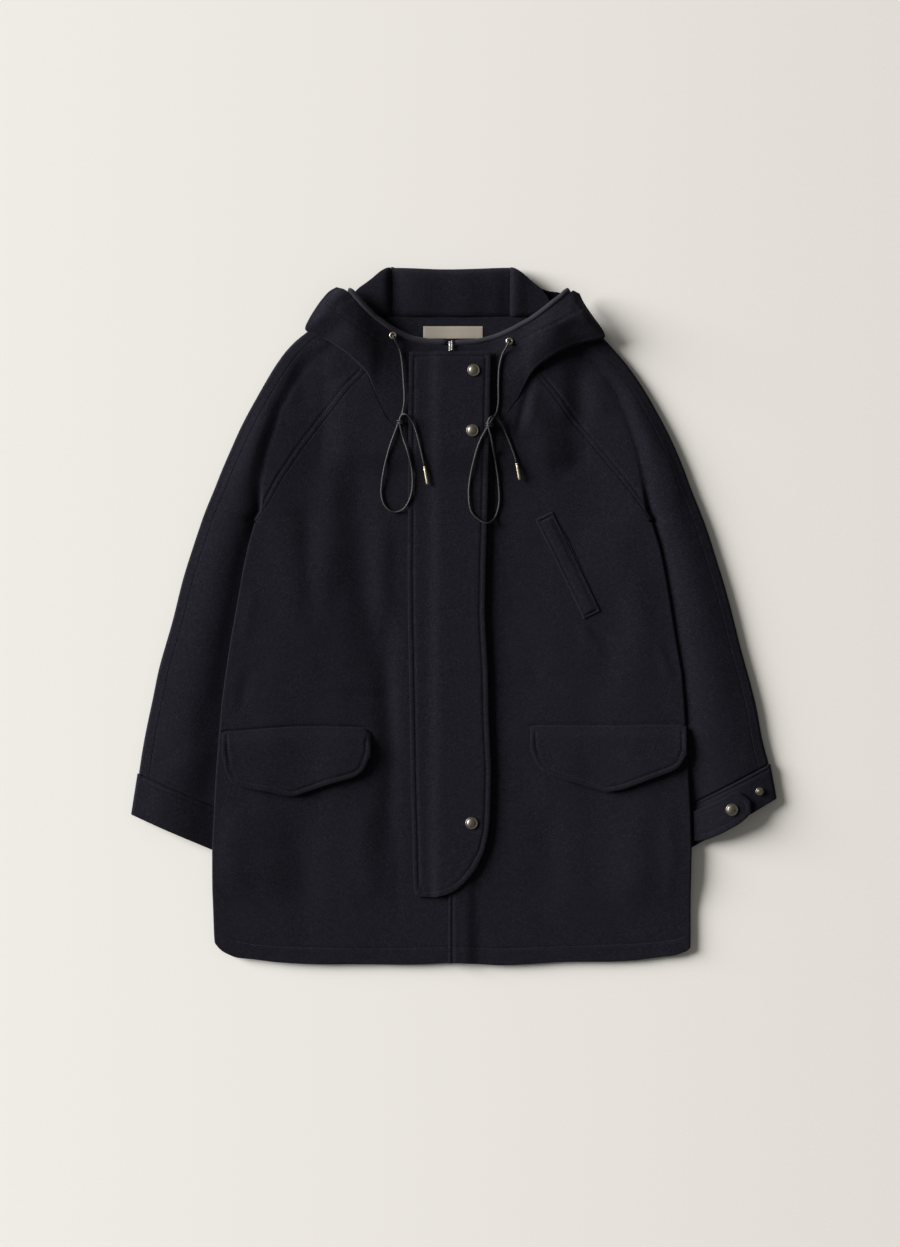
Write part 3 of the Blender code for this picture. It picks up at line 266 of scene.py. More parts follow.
KNOT_RISE = 4.2          # height of a knot's middle above the cloth's face
EYELETS = {LEFT: (-75.5, 348), RIGHT: (69.5, 341)}
# radius and height round an eyelet's section
EYELET_PROFILE = ((2.2, 0), (4.2, 0), (4.5, 0.3), (4.5, 0.6), (4.2, 1.0), (3.7, 1.28), (3.1, 1.3), (2.6, 1.1),
                  (2.25, 0.7))
SNAPS = {"snap_top": (25, 305), "snap_middle": (23.5, 230), "snap_bottom": (22.5, -258.5)}

# small sharp creases, in the same terms as the folds
CREASES = (
    (-1.7, 5, ((99, 303), (88, 262), (80, 230), (76, 212))),
    (1.0, 6, ((107, 290), (98, 255), (92, 225))),
    (-1.6, 4.5, ((-94, 286), (-86, 270), (-78, 254))),
    (-1.3, 6, ((262, -28), (275, -50), (281, -80))),
    (1.0, 6, ((252, -36), (265, -58), (271, -88))),
    (-1.5, 8, ((-306, -96), (-311, -140), (-314, -180))),
    (-1.3, 6, ((166, -10), (180, -24), (200, -34))),
    (1.1, 7, ((158, -16), (171, -32), (192, -44))),
    (-1.4, 8, ((318, -140), (340, -166), (366, -182))),
    (-1.2, 7, ((-330, -150), (-352, -176), (-376, -190))),
    (1.2, 9, ((-300, 214), (-292, 176), (-298, 130))),
    (1.1, 9, ((262, 216), (272, 176), (284, 132))),
    (-1.2, 7, ((-252, -60), (-262, -96), (-266, -128))),
    (-1.0, 7, ((-60, -92), (-100, -104), (-140, -98))),
    (-1.1, 8, ((84, -60), (110, -84), (146, -96))),
    (1.0, 8, ((-250, 40), (-256, 0), (-262, -40))),
    (-0.9, 6, ((-70, -250), (-66, -320), (-72, -400))),
    (0.9, 8, ((262, -230), (272, -300), (264, -370))),
    (-1.8, 14, ((-84, 80), (-80, -60), (-78, -200), (-80, -350))),
    (4.4, 50, ((-158, 210), (-162, 60), (-152, -110), (-146, -240), (-150, -420))),
    (2.8, 52, ((138, 190), (146, 40), (150, -120), (150, -300), (146, -420))),
)
# the soft folds of the hood's sides
LOBE_FOLDS = (
    (-1.6, 9, ((-172, 362), (-152, 358), (-126, 346))),
    (1.4, 9, ((-176, 374), (-150, 372), (-120, 362))),
    (-1.8, 9, ((176, 352), (150, 356), (124, 346))),
    (1.5, 9, ((178, 364), (154, 370), (128, 362))),
    (-1.2, 7, ((-160, 392), (-148, 384), (-138, 380))),
    (-1.2, 7, ((163, 390), (154, 382), (146, 378))),
)
WELT_BORDER = (3.4, 1.4)     # X and Y of the border that lies outside the welt's pressed line
# the left and right end of the welt at stations down its length
WELT = (((105.5, 121.0), (120.5, 128.5)), ((125.5, 82.0), (140.5, 89.5)), ((146.0, 39.0), (160.5, 46.5)),
        ((166.0, -4.0), (180.5, 3.5)))
# the lines of stitching on each piece
FRONT_STITCHES = {
    LEFT: (((-286, -402), (-270, -407), (-224, -413), (-115, -416), (-8, -414), (7, -414)),),
    RIGHT: (((-6, -413), (53, -416), (139, -413), (230, -410), (276, -405), (288, -400)),
            ((-1, -436), (-1, -350), (-1, -200))),
}
SLEEVE_STITCHES = {
    LEFT: (((-114.6, 307), (-135.6, 287), (-146.6, 273), (-164.6, 250), (-193.6, 212), (-220.6, 172),
            (-236, 142)),),
    RIGHT: (((105.6, 307), (122.6, 287), (133.6, 273), (149.6, 250), (181.6, 212), (214.6, 172),
             (237, 142)),),
}
STITCH_INSET = 6.5       # distance of a sewn line from its seam or edge
GROOVE_WIDTH = 1.1       # half width of the groove of a sewn line
SWELL_PLACE, SWELL_WIDTH = 3.4, 2.6     # where the cloth swells beside the groove, and how widely
PUCKER_WIDTH = 6.0       # how far from the line it puckers
RIM_WIDTH = 0.9          # how far a rounded rim reaches in from a free edge
CUFF_STITCHES = {LEFT: (((-262, -259.3), (-391, -203.6)),), RIGHT: (((262, -258.9), (392, -191.9)),)}
HOOD_STITCHES = {
    LEFT: (((-157, 388), (-140, 373), (-118, 358), (-92, 342), (-72, 331), (-61, 327)),),
    RIGHT: (((163, 382), (141, 370), (121, 360), (87, 343), (66, 330), (52, 324)),),
}
PLACKET_STITCHES = (
    ((-48.6, 320), *((row[1] + STITCH_INSET, row[0]) for row in reversed(PLACKET[3:-1])), (-43, -338),
     (-38, -344.5), (-22, -344.5), (-5, -339), (8, -330), (21, -314), (32, -293), (38, -268),
     *((row[2] - STITCH_INSET, row[0]) for row in PLACKET[6:-1]), (39.9, 317), (40, 321.5), (36, 321.5),
     (-44, 321.5), (-48.5, 321.5)),
)
FLAP_STITCHES = {
    LEFT: (((-282, -150), (-281.5, -168), (-278.5, -192), (-272.5, -203), (-249, -210), (-225, -214),
            (-211, -218), (-198.5, -219), (-160, -205), (-124, -195.5), (-115, -188), (-109.5, -170),
            (-109, -154)),),
    RIGHT: (((102, -145), (102.5, -163), (106, -178), (112.5, -187), (137, -197), (191, -214), (210, -210),
             (234, -201), (271, -187.5), (279, -182), (284, -168.5), (284, -145)),),
}
TAB_STITCHES = (((301, -250), (314, -245), (332, -236.5), (351.5, -226), (357, -229.5),
                 (363.2, -234.5), (363.6, -243), (358.5, -248.5), (353, -252.5), (332, -264.5),
                 (316, -271.5), (301, -274)),)
STITCHES_BY_SIDE = (("front", FRONT_STITCHES), ("sleeve_front", SLEEVE_STITCHES), ("cuff", CUFF_STITCHES),
                    ("hood_side", HOOD_STITCHES), ("flap", FLAP_STITCHES))


def smooth(value):
    """Ease from 0 to 1; smooth((x - start) / length) rises from start on, over that length."""
    value = np.clip(value, 0.0, 1.0)
    return value * value * (3.0 - 2.0 * value)


def read(table, key, column):
    """Read a column of a table at a key, in straight lines between its rows."""
    rows = sorted(table)
    return np.interp(key, [row[0] for row in rows], [row[column] for row in rows])


def look_up(table, key, column):
    """Read a column of a table at a key, with its corners rounded a little."""
    key = np.asarray(key, dtype=float)
    return sum(read(table, key + shift, column) for shift in (-5.0, -2.0, 0.0, 2.0, 5.0)) / 5.0


def side_column(side):
    """The column of a table that belongs to a side."""
    return 1 if side == LEFT else 2


def side_line(side, y):
    """Distance of the side fold or ridge from the centre line."""
    return look_up(SIDE, y, side_column(side))


def tuck_line(side, y):
    """Distance of the sleeve's tucked edge from the centre line."""
    return look_up(TUCK, y, side_column(side))


def raglan_line(side, y):
    """Distance of the raglan seam from the centre line."""
    return look_up(RAGLAN, y, side_column(side))


def line_distance(points, x, y):
    """Distance from a broken line, and how far along it the nearest point lies, from 0 to 1."""
    best = np.full(np.shape(x), 1e9)
    place = np.zeros(np.shape(x))
    lengths = [math.dist(a, b) for a, b in zip(points, points[1:])]
    done = 0.0
    for (ax, ay), (bx, by), length in zip(points, points[1:], lengths):
        along = ((x - ax) * (bx - ax) + (y - ay) * (by - ay)) / length ** 2
        along = np.clip(along, 0.0, 1.0)
        distance = np.hypot(x - ax - along * (bx - ax), y - ay - along * (by - ay))
        nearer = distance < best
        best = np.where(nearer, distance, best)
        place = np.where(nearer, (done + along * length) / sum(lengths), place)
        done += length
    return best, place


def fold_sum(table, x, y, ends=0.3):
    """Height of the folds in a table at a point."""
    total = np.zeros(np.shape(x))
    for height, width, points in table:
        distance, along = line_distance(points, x, y)
        fade = smooth(along / ends) * smooth((1.0 - along) / ends)
        total += height * fade * np.exp(-(distance / width) ** 2)
    return total


def all_folds(x, y):
    """Height of the soft folds and the small creases at a point."""
    return fold_sum(FOLDS, x, y) + fold_sum(CREASES, x, y)


def waviness(x, y):
    """The slight unevenness of thick wool that lies flat."""
    slow = np.sin(x * 0.041 + 1.7 * np.sin(y * 0.019 + 0.4)) * np.sin(y * 0.033 + 1.3 * np.sin(x * 0.023))
    quick = np.sin(x * 0.093 - y * 0.061 + 2.1 * np.sin(y * 0.037)) * np.sin(y * 0.087 + x * 0.052 + 0.9)
    return 0.34 * slow + 0.16 * quick


def relief(x, y):
    """Height of the cloth's folds and unevenness at a point, less beside the zip."""
    far = smooth((np.abs(x) - PLACKET_REACH) / 25)
    return all_folds(x, y) * far + waviness(x, y) * (0.35 + 0.65 * far)


def pack_height(x, y):
    """How far the hood under the upper back lifts what lies on it."""
    return HOOD_PACK * smooth((y - PACK_START) / 34) * smooth((PACK_REACH - np.abs(x)) / 40)


def low_fade(y):
    """1 where the sleeve lies under the body's side, easing off to 0 below the cuff."""
    return smooth((y + 372) / 56)


def side_lift(side, x, y, amount, early=0.0):
    """How far the sleeve under the body's side, or the ridge above it, lifts a panel."""
    start = side_line(side, y) - LIFT_UPPER
    fade = 1.0 - 0.6 * smooth((y - UNDERARM) / 190)
    upper = amount * fade * smooth((np.abs(x) - start) / LIFT_LENGTH)
    lower = amount * smooth((np.abs(x) - tuck_line(side, y) + LIFT_LOWER + early) / LIFT_LENGTH)
    return np.where(y > UNDERARM, upper, lower)


def by_side(function, x, y, *rest):
    """Evaluate a function of side, x and y on both sides at once."""
    return np.where(x < 0, function(LEFT, x, y, *rest), function(RIGHT, x, y, *rest))


def back_height(x, y):
    """Underside of the back panel."""
    x, y = np.broadcast_arrays(np.asarray(x, float), np.asarray(y, float))
    rest = FRONT_HEIGHT + (EDGE_HEIGHT - FRONT_HEIGHT) * low_fade(y) - 2 * SIDE_ROLL
    lift = by_side(side_lift, x, y, rest)
    return np.maximum(pack_height(x, y), lift * smooth((UNDERARM + 26 - y) / 30))


def front_height(x, y):
    """Face of the fronts, and of the sleeves as far as their ridge."""
    x, y = np.broadcast_arrays(np.asarray(x, float), np.asarray(y, float))
    ground = FRONT_HEIGHT + pack_height(x, y)
    lift = by_side(side_lift, x, y, (EDGE_HEIGHT - FRONT_HEIGHT) * low_fade(y), LIFT_EARLY)
    edge = np.where(x < 0, side_line(LEFT, y), side_line(RIGHT, y))
    inner = smooth((edge + 4 - np.abs(x)) / 26)
    return np.maximum(ground, FRONT_HEIGHT + lift) + relief(x, y) * inner


def lap_height(x):
    """Rise of the right front's edge where it lies on the left front."""
    return LAP * smooth((LAP_REACH - x) / 14)


def on_front(x, y):
    """Height of the face that the placket lies on."""
    return front_height(x, y) + LAP * smooth((x + LAP_REACH) / 12)


def hem_line(x):
    """Y of the hem at a point across the coat."""
    return look_up(HEM, x, 1) + 0.8 * np.sin(x * 0.05 + 1.0)


def curl_reach(radius, amount, flat_step=CURL_STEP):
    """Distance from where an edge starts to curl to its outermost point."""
    return radius * math.sin(math.pi * min(amount, 0.5)) + flat_step * CURL_STEPS * (1 - amount)


def curl_points(radius, amount, flat_step=CURL_STEP):
    """Points of an edge that curls under, from where it starts: distance outward and distance down."""
    points = []
    for step in range(CURL_STEPS + 1):
        angle = math.pi * amount * step / CURL_STEPS
        flat = flat_step * step * (1 - amount)
        points.append((flat + radius * math.sin(angle), radius * (1 - math.cos(angle))))
    return points


def section_normals(grid, closed, plane):
    """Unit normals of a grid's points, each in the upright plane of its row, upright at open ends."""
    if closed:
        along = np.roll(grid, -1, axis=1) - np.roll(grid, 1, axis=1)
        chord = grid[:, grid.shape[1] // 2] - grid[:, 0]
    else:
        along = np.gradient(grid, axis=1)
        chord = grid[:, -1] - grid[:, 0]
    sideways = np.stack((-chord[:, 1], chord[:, 0], np.zeros(len(chord))), axis=1)
    if plane:
        sideways[:] = plane
    normals = np.cross(along, sideways[:, None, :])
    normals /= np.maximum(np.linalg.norm(normals, axis=2, keepdims=True), 1e-9)
    if not closed:
        for column in (0, -1):
            level = np.abs(normals[:, column, 2]) > 0.75
            normals[level, column] = np.sign(normals[level, column, 2:]) * (0.0, 0.0, 1.0)
    return normals


def spread(width, near, far, middle):
    """Distances across a panel: close together by its two edges and even between."""
    scale = min(1.0, width / 60.0)
    start = [distance * scale for distance in near]
    end = [width - distance * scale for distance in far]
    return np.array(start + list(np.linspace(start[-1], end[0], middle + 2)[1:-1]) + end)


def soften(grid, times):
    """Ease the corners along each row, with the two ends kept."""
    grid = np.array(grid, dtype=float)
    for _ in range(times):
        grid[:, 1:-1] = 0.25 * grid[:, :-2] + 0.5 * grid[:, 1:-1] + 0.25 * grid[:, 2:]
    return grid


def edge_distance(grid, closed):
    """Distance of each point of a grid from the grid's nearest free edge."""
    down = np.linalg.norm(np.diff(grid, axis=0), axis=2)
    zero = np.zeros((1, grid.shape[1]))
    first = np.concatenate((zero, np.cumsum(down, axis=0)))
    nearest = np.minimum(first, first[-1] - first)
    if not closed:
        across = np.linalg.norm(np.diff(grid, axis=1), axis=2)
        second = np.concatenate((np.zeros((grid.shape[0], 1)), np.cumsum(across, axis=1)), axis=1)
        nearest = np.minimum(nearest, np.minimum(second, second[:, -1:] - second))
    return nearest


def sewn(grid, stitching):
    """Press a sewn line into a grid's face, with the cloth swelling and puckering beside it."""
    if not stitching:
        return grid
    sizes = bpy.context.scene.parka_sizes
    depth = sizes.stitch_depth / MM
    x, y = grid[..., 0], grid[..., 1]
    # only the face that lies uppermost is sewn, not what curls under it
    upper = smooth((grid[..., 2] - 2.0) / 2.0)
    for number, line in enumerate(stitching):
        distance, along = line_distance(line, x, y)
        length = sum(math.dist(a, b) for a, b in zip(line, line[1:]))
        groove = np.exp(-(distance / GROOVE_WIDTH) ** 2)
        swell = np.exp(-((distance - SWELL_PLACE) / SWELL_WIDTH) ** 2)
        wave = np.sin(along * length / 2.9 + number) * np.sin(along * length / 7.3 + 2.0 * number)
        pucker = np.exp(-(distance / PUCKER_WIDTH) ** 2) * wave
        grid[..., 2] += depth * (0.3 * swell + 0.22 * pucker - groove) * upper
    return grid


def shell(name, grid, thickness=CLOTH, upright=False, closed=False, first=None, turn=1, plane=None,
          stitching=(), roll=0.5, bulge=0.2):
    """Make a cloth panel from the points of its face, with soft rounded edges; return its object.

    The wall goes inward from the face, straight down where upright is set. first gives the first
    column that each row has. turn is -1 where a row runs the other way round, and plane gives the
    rows' planes where their ends don't. roll says how much a rim is drawn in, and bulge how far its
    middle stands out."""
    grid = np.asarray(grid, dtype=float)
    rows, columns = grid.shape[:2]
    normals = np.zeros_like(grid)
    normals[..., 2] = 1.0
    if not upright:
        normals = section_normals(grid, closed, plane) * turn
    inside = grid - normals * thickness
    near = np.exp(-(edge_distance(grid, closed) / RIM_WIDTH) ** 2)[..., None]
    face = sewn(grid - normals * near * roll * 0.5, stitching)
    inside = inside + normals * near * roll * 0.4
    # the quads of the grid, without those before a row's first column
    count = rows * columns
    place = np.arange(count).reshape(rows, columns)
    keep = np.arange(columns)[None, :] >= np.array(first or [0] * rows)[:, None]
    wrap = np.roll(place, -1, axis=1) if closed else place[:, 1:]
    last = columns if closed else columns - 1
    quads = np.stack((place[:-1, :last], wrap[:-1], wrap[1:], place[1:, :last]), axis=-1)
    quads = quads[keep[:-1, :last] & keep[1:, :last]]
    # the free edges are those that no other quad runs along the other way
    one = quads.ravel()
    two = np.roll(quads, -1, axis=1).ravel()
    forward, backward = one * count + two, two * count + one
    free = ~np.isin(forward, backward)
    one, two = one[free], two[free]
    rim = np.unique(np.concatenate((one, two)))
    # a third row of points round the rim, between the face and the inside and a little outward
    face, inside, axis = face.reshape(-1, 3), inside.reshape(-1, 3), normals.reshape(-1, 3)
    row, column = np.divmod(rim, columns)
    within = grid[np.clip(row, 1, rows - 2), np.clip(column, 1, columns - 2)]
    level = (face[rim] + inside[rim]) / 2
    out = level - within
    out -= axis[rim] * np.sum(out * axis[rim], axis=1, keepdims=True)
    out /= np.maximum(np.linalg.norm(out, axis=1, keepdims=True), 1e-6)
    middle = level + out * bulge
    points = np.concatenate((face, inside, middle))
    rank = np.full(count, -1)
    rank[rim] = np.arange(len(rim)) + 2 * count
    faces = np.concatenate((quads, quads[:, ::-1] + count,
                            np.stack((two, one, rank[one], rank[two]), axis=1),
                            np.stack((rank[two], rank[one], one + count, two + count), axis=1)))
    used, faces = np.unique(faces, return_inverse=True)
    return solid(name, points[used], faces.reshape(-1, 4).tolist())


def solid(name, points, faces):
    """Make a smooth closed object from points in millimetres, with its faces turned outward."""
    mesh = bpy.data.meshes.new(name)
    mesh.from_pydata((np.asarray(points) * MM).tolist(), [], faces)
    mesh.update()
    work = bmesh.new()
    work.from_mesh(mesh)
    bmesh.ops.recalc_face_normals(work, faces=work.faces)
    if work.calc_volume(signed=True) < 0:
        bmesh.ops.reverse_faces(work, faces=work.faces)
    work.to_mesh(mesh)
    work.free()
    mesh.shade_smooth()
    made = bpy.data.objects.new(name, mesh)
    bpy.context.scene.collection.objects.link(made)
    return made


def dress(piece, slot, *nodes, finish=None):
    """Give a piece its material, that of its slot if no other is named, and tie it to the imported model."""
    piece.data.materials.clear()
    piece.data.materials.append(finish_of(finish or slot))
    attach(piece, "root")
    if nodes:
        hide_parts(*nodes)
    return piece


def between(table, place):
    """Values of a table at a place counted in rows, with its corners rounded."""
    values = np.array(table, dtype=float)
    index = np.arange(len(values))
    reach = min(0.28, place, len(values) - 1 - place)
    shifts = [reach * share for share in (-1.0, -0.35, 0.35, 1.0)]
    return np.array([sum(np.interp(place + shift, index, column) for shift in shifts) / len(shifts)
                     for column in values.T])


def front_panel(side):
    """One front, from its edge under the placket to its side fold."""
    hem_rows = (0, 0.8, 1.8, 3.4, 6, 10, 14, 17, 19, 20.2, 21.2, 22.4, 24.5, 28, 34, 41, 50)
    hem_end = -376.0
    # Y of each row, and for the rows near the hem also their share of the way up from it
    levels = [(HEM_ROWS_START + 34 * row / 60, row / 60) for row in hem_rows]
    levels += [(y, None) for y in (*np.arange(hem_end, -153, 3.8), *np.arange(-151, -136, 0.9),
                                   *np.arange(-134, 112, 3.6), 113, 114, 115, 116, 117, 118,
                                   *np.arange(121.0, 221, 3.8), 222, 225, 227, 229, 231,
                                   *np.arange(234.5, 299, 3.4), 301.8)]
    grid = []
    for y, rise in levels:
        curl = float(smooth((UNDERARM - y) / UNDERARM_TURN))
        if y <= UNDERARM:
            edge = float(side_line(side, y))
            edge -= (1 - curl) * (edge - raglan_line(side, UNDERARM) + SEAM)
        else:
            edge = float(raglan_line(side, y)) - SEAM
        inner = -6.0 if side == RIGHT else -8.0
        if y > 224:
            inner = float(read(NECK, y, side_column(side)))
        flat_step = max(0.02, min(FLAT_STEP, (edge - inner) * 0.05))
        tight = 1.0 - 0.5 * curl
        start = edge - curl_reach(SIDE_ROLL, curl, flat_step) * tight
        near = (0, 0.7, 1.6, 2.8, 4.2, 5.0, 5.8, 7.2, 9.5, 13)
        x = side * (inner + spread(start - inner, near, (4, 1.6, 0), 62))
        height = front_height(x, y) - flap_groove(side, x, y)
        curled = curl_points(SIDE_ROLL, curl, flat_step)[1:]
        x = np.append(x, [side * (start + out * tight) for out, _ in curled])
        ahead = front_height(x[-len(curled):], y) * (1 - curl) + height[-1] * curl
        height = np.append(height, ahead - [down for _, down in curled])
        if side == RIGHT:
            height = height + lap_height(x)
        level = np.full(len(x), y)
        if rise is not None:
            hem = hem_line(x)
            level = hem + (hem_end - hem) * rise
        grid.append(np.stack((x, level, height), axis=1))
    return shell(f"front_{word(side)}_cloth", grid, stitching=FRONT_STITCHES[side], roll=0.35, bulge=0.15)


def flap_groove(side, x, y):
    """How far the front sinks along the seam above its pocket flap."""
    line = [(row[0], row[1] + 1.3) for row in FLAPS[side]]
    return 1.7 * np.exp(-(line_distance(line, x, y)[0] / 1.5) ** 2)


def word(side):
    """The name of a side."""
    return "left" if side == LEFT else "right"


def sleeve_row(side, place_in_rows):
    """The inner line, ridge and outer edge of one row of a sleeve, and a function for its points."""
    column = 1 if side == LEFT else 3
    numbered = [(number, row[0], row[column]) for number, row in enumerate(SLEEVE_ROWS)]
    y_in, y_out = (float(read(numbered, place_in_rows, place)) for place in (1, 2))
    edge = [(row[column], row[column + 1]) for row in SLEEVE_ROWS]
    reach = min(12.0, y_out - edge[-1][0], edge[0][0] - y_out)
    outer = sum(float(look_up(edge, y_out + reach * share, 1)) for share in (-1.0, -0.4, 0.4, 1.0)) / 4
    outer += 0.35 * math.sin(y_out * 0.061 + side)
    if place_in_rows > UPPER_ROWS - 1:
        inner = float(tuck_line(side, y_in))
    elif y_in > RAGLAN_TOP:
        inner = NECK_END
    else:
        inner = float(raglan_line(side, y_in)) + SEAM

    def place(across, height=0.0):
        across = np.asarray(across, dtype=float)
        share = (across - inner) / (outer - inner)
        return np.stack(np.broadcast_arrays(side * across, y_in + share * (y_out - y_in), height), axis=-1)

    ridge = float(side_line(side, y_in))
    for _ in range(6):
        ridge = float(side_line(side, place(ridge)[1]))
    ridge = min(ridge, outer - OVERARM - RIDGE_ROOM)
    return y_in, inner, max(ridge, inner + 6.2), outer, place


def sleeve_valley(place_in_rows, y_in, ridge, place):
    """Height of the crest of a sleeve's ridge, and of the valley outside it."""
    if place_in_rows > UPPER_ROWS - 1:
        return TUCK_HEIGHT, TUCK_HEIGHT
    crest = float(front_height(*place(ridge - 3.0)[:2]))
    drop = (crest - TUCK_HEIGHT - 0.4) * (0.12 + 0.88 * float(smooth((336 - y_in) / 80)))
    return crest, crest - drop


def sleeve_face(side, across, place, ridge, outer, valley):
    """Points on a sleeve between the valley beside the body and its outer edge."""
    where = place(across)
    y = where[..., 1]
    share = np.clip((across - ridge) / (outer - SLEEVE_ROLL - ridge), 0.0, 1.0)
    full = smooth((y + 250) / 90)
    swell = (CROWN + FULLER * full) * (0.25 + 0.75 * smooth((310 - y) / 110))
    arch = np.sin(math.pi * share ** (1 - 0.38 * full))
    height = valley + (2 * SLEEVE_ROLL - valley) * smooth(share * 1.5) + swell * arch
    bend = all_folds(side * across, y) + waviness(side * across, y)
    where[..., 2] = height + bend * smooth((outer - SLEEVE_ROLL - across) / 10)
    return where


def sleeve_places():
    """Where the rows of a sleeve lie, counted in rows of its table."""
    places = []
    for row, (one, two) in enumerate(zip(SLEEVE_ROWS, SLEEVE_ROWS[1:])):
        steps = max(1, round(abs(one[0] - two[0]) / 3.9))
        places += [row + step / steps for step in range(steps)]
    return places + [len(SLEEVE_ROWS) - 1]


def sleeve_front(side):
    """The sleeve's front: from the raglan seam over the ridge, and below the underarm from its edge
    under the body, to the overarm seam."""
    near = (0, 0.7, 1.6, 3.0, 4.6, 5.8, 6.6, 7.4, 8.8, 11)
    grid, first = [], []
    for number in sleeve_places():
        y_in, inner, ridge, outer, place = sleeve_row(side, number)
        crest, valley = sleeve_valley(number, y_in, ridge, place)
        drop = crest - valley
        # 1 at the underarm, where the ridge narrows and moves inward, easing to 0 above it
        level_with_fold = 1.0 - float(smooth((y_in - UNDERARM - 4) / 45))
        steep = float(smooth(drop / 6))
        room = min(1.0, (outer - OVERARM - ridge - 6) / 22) * (1.0 - 0.7 * level_with_fold)
        shares = np.linspace(0, 1, CURL_STEPS + 2)
        outs, gentles, falls = (np.interp(shares, np.linspace(0, 1, len(RIDGE_STEP)), column)
                                for column in zip(*RIDGE_STEP))
        ridge_places = ridge + (gentles + (outs - gentles) * steep) * room - 4.2 * level_with_fold
        upper = inner + spread(ridge_places[0] - inner, near, (2, 0), 16)
        if number <= UPPER_ROWS - 1:
            where = place(upper)
            where[:, 2] = front_height(where[:, 0], where[:, 1])
            across = ridge_places[1:]
            base = sleeve_face(side, across, place, ridge, outer, valley)[:, 2]
            points = np.concatenate((where, place(across, base + (crest - base) * (1 - falls[1:]))))
            first.append(0)
        else:
            curl = float(smooth((UNDERARM + 2 - y_in) / 40))
            start = inner + curl_reach(TUCK_ROLL, curl)
            outs, downs = np.array(curl_points(TUCK_ROLL, curl))[::-1].T
            curled = place(start - outs, valley - downs)
            # fill the columns that this row does without, so that all rows are equally long
            dropped = len(upper) - 1
            before = np.repeat(curled[:1], dropped, axis=0)
            before += (curled[0] - curled[1]) * np.arange(dropped, 0, -1)[:, None]
            points = np.concatenate((before, curled, place([ridge], valley)))
            first.append(dropped)
        last = abs(points[-1, 0])
        across = last + spread(outer - OVERARM - last, (0, 2), (8.6, 7.6, 6.9, 6.2, 5, 3.2, 1.6, 0.7, 0), 20)
        points = np.concatenate((points, sleeve_face(side, across[1:], place, ridge, outer, valley)))
        grid.append(points)
    # ease the corner where the ridge meets the sleeve's face
    grid = np.array(grid)
    seam = len(near) + 10
    grid[:, seam:-8] = soften(grid[:, seam:-8], 7)
    return shell(f"sleeve_front_{word(side)}_cloth", grid, first=first, stitching=SLEEVE_STITCHES[side],
                 roll=0.3, bulge=0.12)


def sleeve_back(side):
    """The sleeve's back: from the overarm seam round the outer edge and in along the floor."""
    grid = []
    for number in sleeve_places():
        y_in, inner, ridge, outer, place = sleeve_row(side, number)
        valley = sleeve_valley(number, y_in, ridge, place)[1]
        across = np.linspace(outer - OVERARM + 0.12, outer - SLEEVE_ROLL, 9)
        angle = np.linspace(0, math.pi, 15)[1:]
        arc = place(outer - SLEEVE_ROLL * (1 - np.sin(angle)), SLEEVE_ROLL * (1 + np.cos(angle)))
        end = inner + (SEAM if number <= UPPER_ROWS - 1 else TUCK_ROLL + FOLD_SEAM)
        under = place(np.linspace(outer - SLEEVE_ROLL, end, 13)[1:], 0.0)
        grid.append(np.concatenate((sleeve_face(side, across, place, ridge, outer, valley), arc, under)))
    return shell(f"sleeve_back_{word(side)}_cloth", grid, turn=-1, roll=0.12, bulge=0.05)


def cuff_row(side, share):
    """Y of a cuff at its inner and outer end, and its outer edge; share runs from its seam to its edge."""
    top_in, top_out, low_in, low_out, top_x, low_x = CUFFS[side]
    return tuple(top + (low - top) * share
                 for top, low in ((top_in, low_in), (top_out, low_out), (top_x, low_x)))


def cuff_point(side, share, across, height):
    """A point on a cuff."""
    y_in, y_out, outer = cuff_row(side, share)
    along = (across - CUFF_INNER) / (outer - CUFF_INNER)
    return np.stack(np.broadcast_arrays(side * across, y_in + along * (y_out - y_in), height), axis=-1)


def cuff_height(side, share, across):
    """Face of a cuff's upper side."""
    outer = cuff_row(side, share)[2]
    where = cuff_point(side, share, across, 0)
    ridge = side_line(side, where[..., 1])
    place = np.clip((across - ridge) / (outer - CUFF_ROLL - ridge), 0.0, 1.0)
    arch = np.sin(math.pi * place)
    height = CUFF_TUCK + (2 * CUFF_ROLL - CUFF_TUCK) * smooth(place * 1.3) + CUFF_CROWN * arch
    return height + waviness(where[..., 0], where[..., 1]) * arch


def cuff(side):
    """The cuff band, a ring with open ends."""
    radius = CUFF_TUCK / 2
    shares = (0, 0.015, 0.035, 0.06, 0.075, 0.085, 0.095, 0.11, 0.13, 0.16, 0.2, 0.28, 0.38, 0.48, 0.58, 0.68,
              0.78, 0.84, 0.88, 0.91, 0.94, 0.965, 0.985, 1)
    grid = []
    for share in shares:
        outer = cuff_row(side, share)[2]
        turn = np.linspace(0, math.pi, 11)
        inside = cuff_point(side, share, CUFF_INNER + radius * (1 - np.sin(turn)),
                            radius * (1 - np.cos(turn)))
        across = np.linspace(CUFF_INNER + radius, outer - CUFF_ROLL, 46)[1:]
        sunk = CUFF_SINK * (1 - float(smooth(share / 0.07)))
        face = cuff_point(side, share, across, cuff_height(side, share, across) - sunk)
        turn = np.linspace(0, math.pi, 13)[1:]
        edge = cuff_point(side, share, outer - CUFF_ROLL * (1 - np.sin(turn)), CUFF_ROLL * (1 + np.cos(turn)))
        under = cuff_point(side, share, np.linspace(outer - CUFF_ROLL, CUFF_INNER + radius, 14)[1:-1], 0.0)
        grid.append(np.concatenate((inside, face, edge, under)))
    return shell(f"cuff_{word(side)}_cloth", grid, closed=True, stitching=CUFF_STITCHES[side], roll=0.3,
                 bulge=0.1)


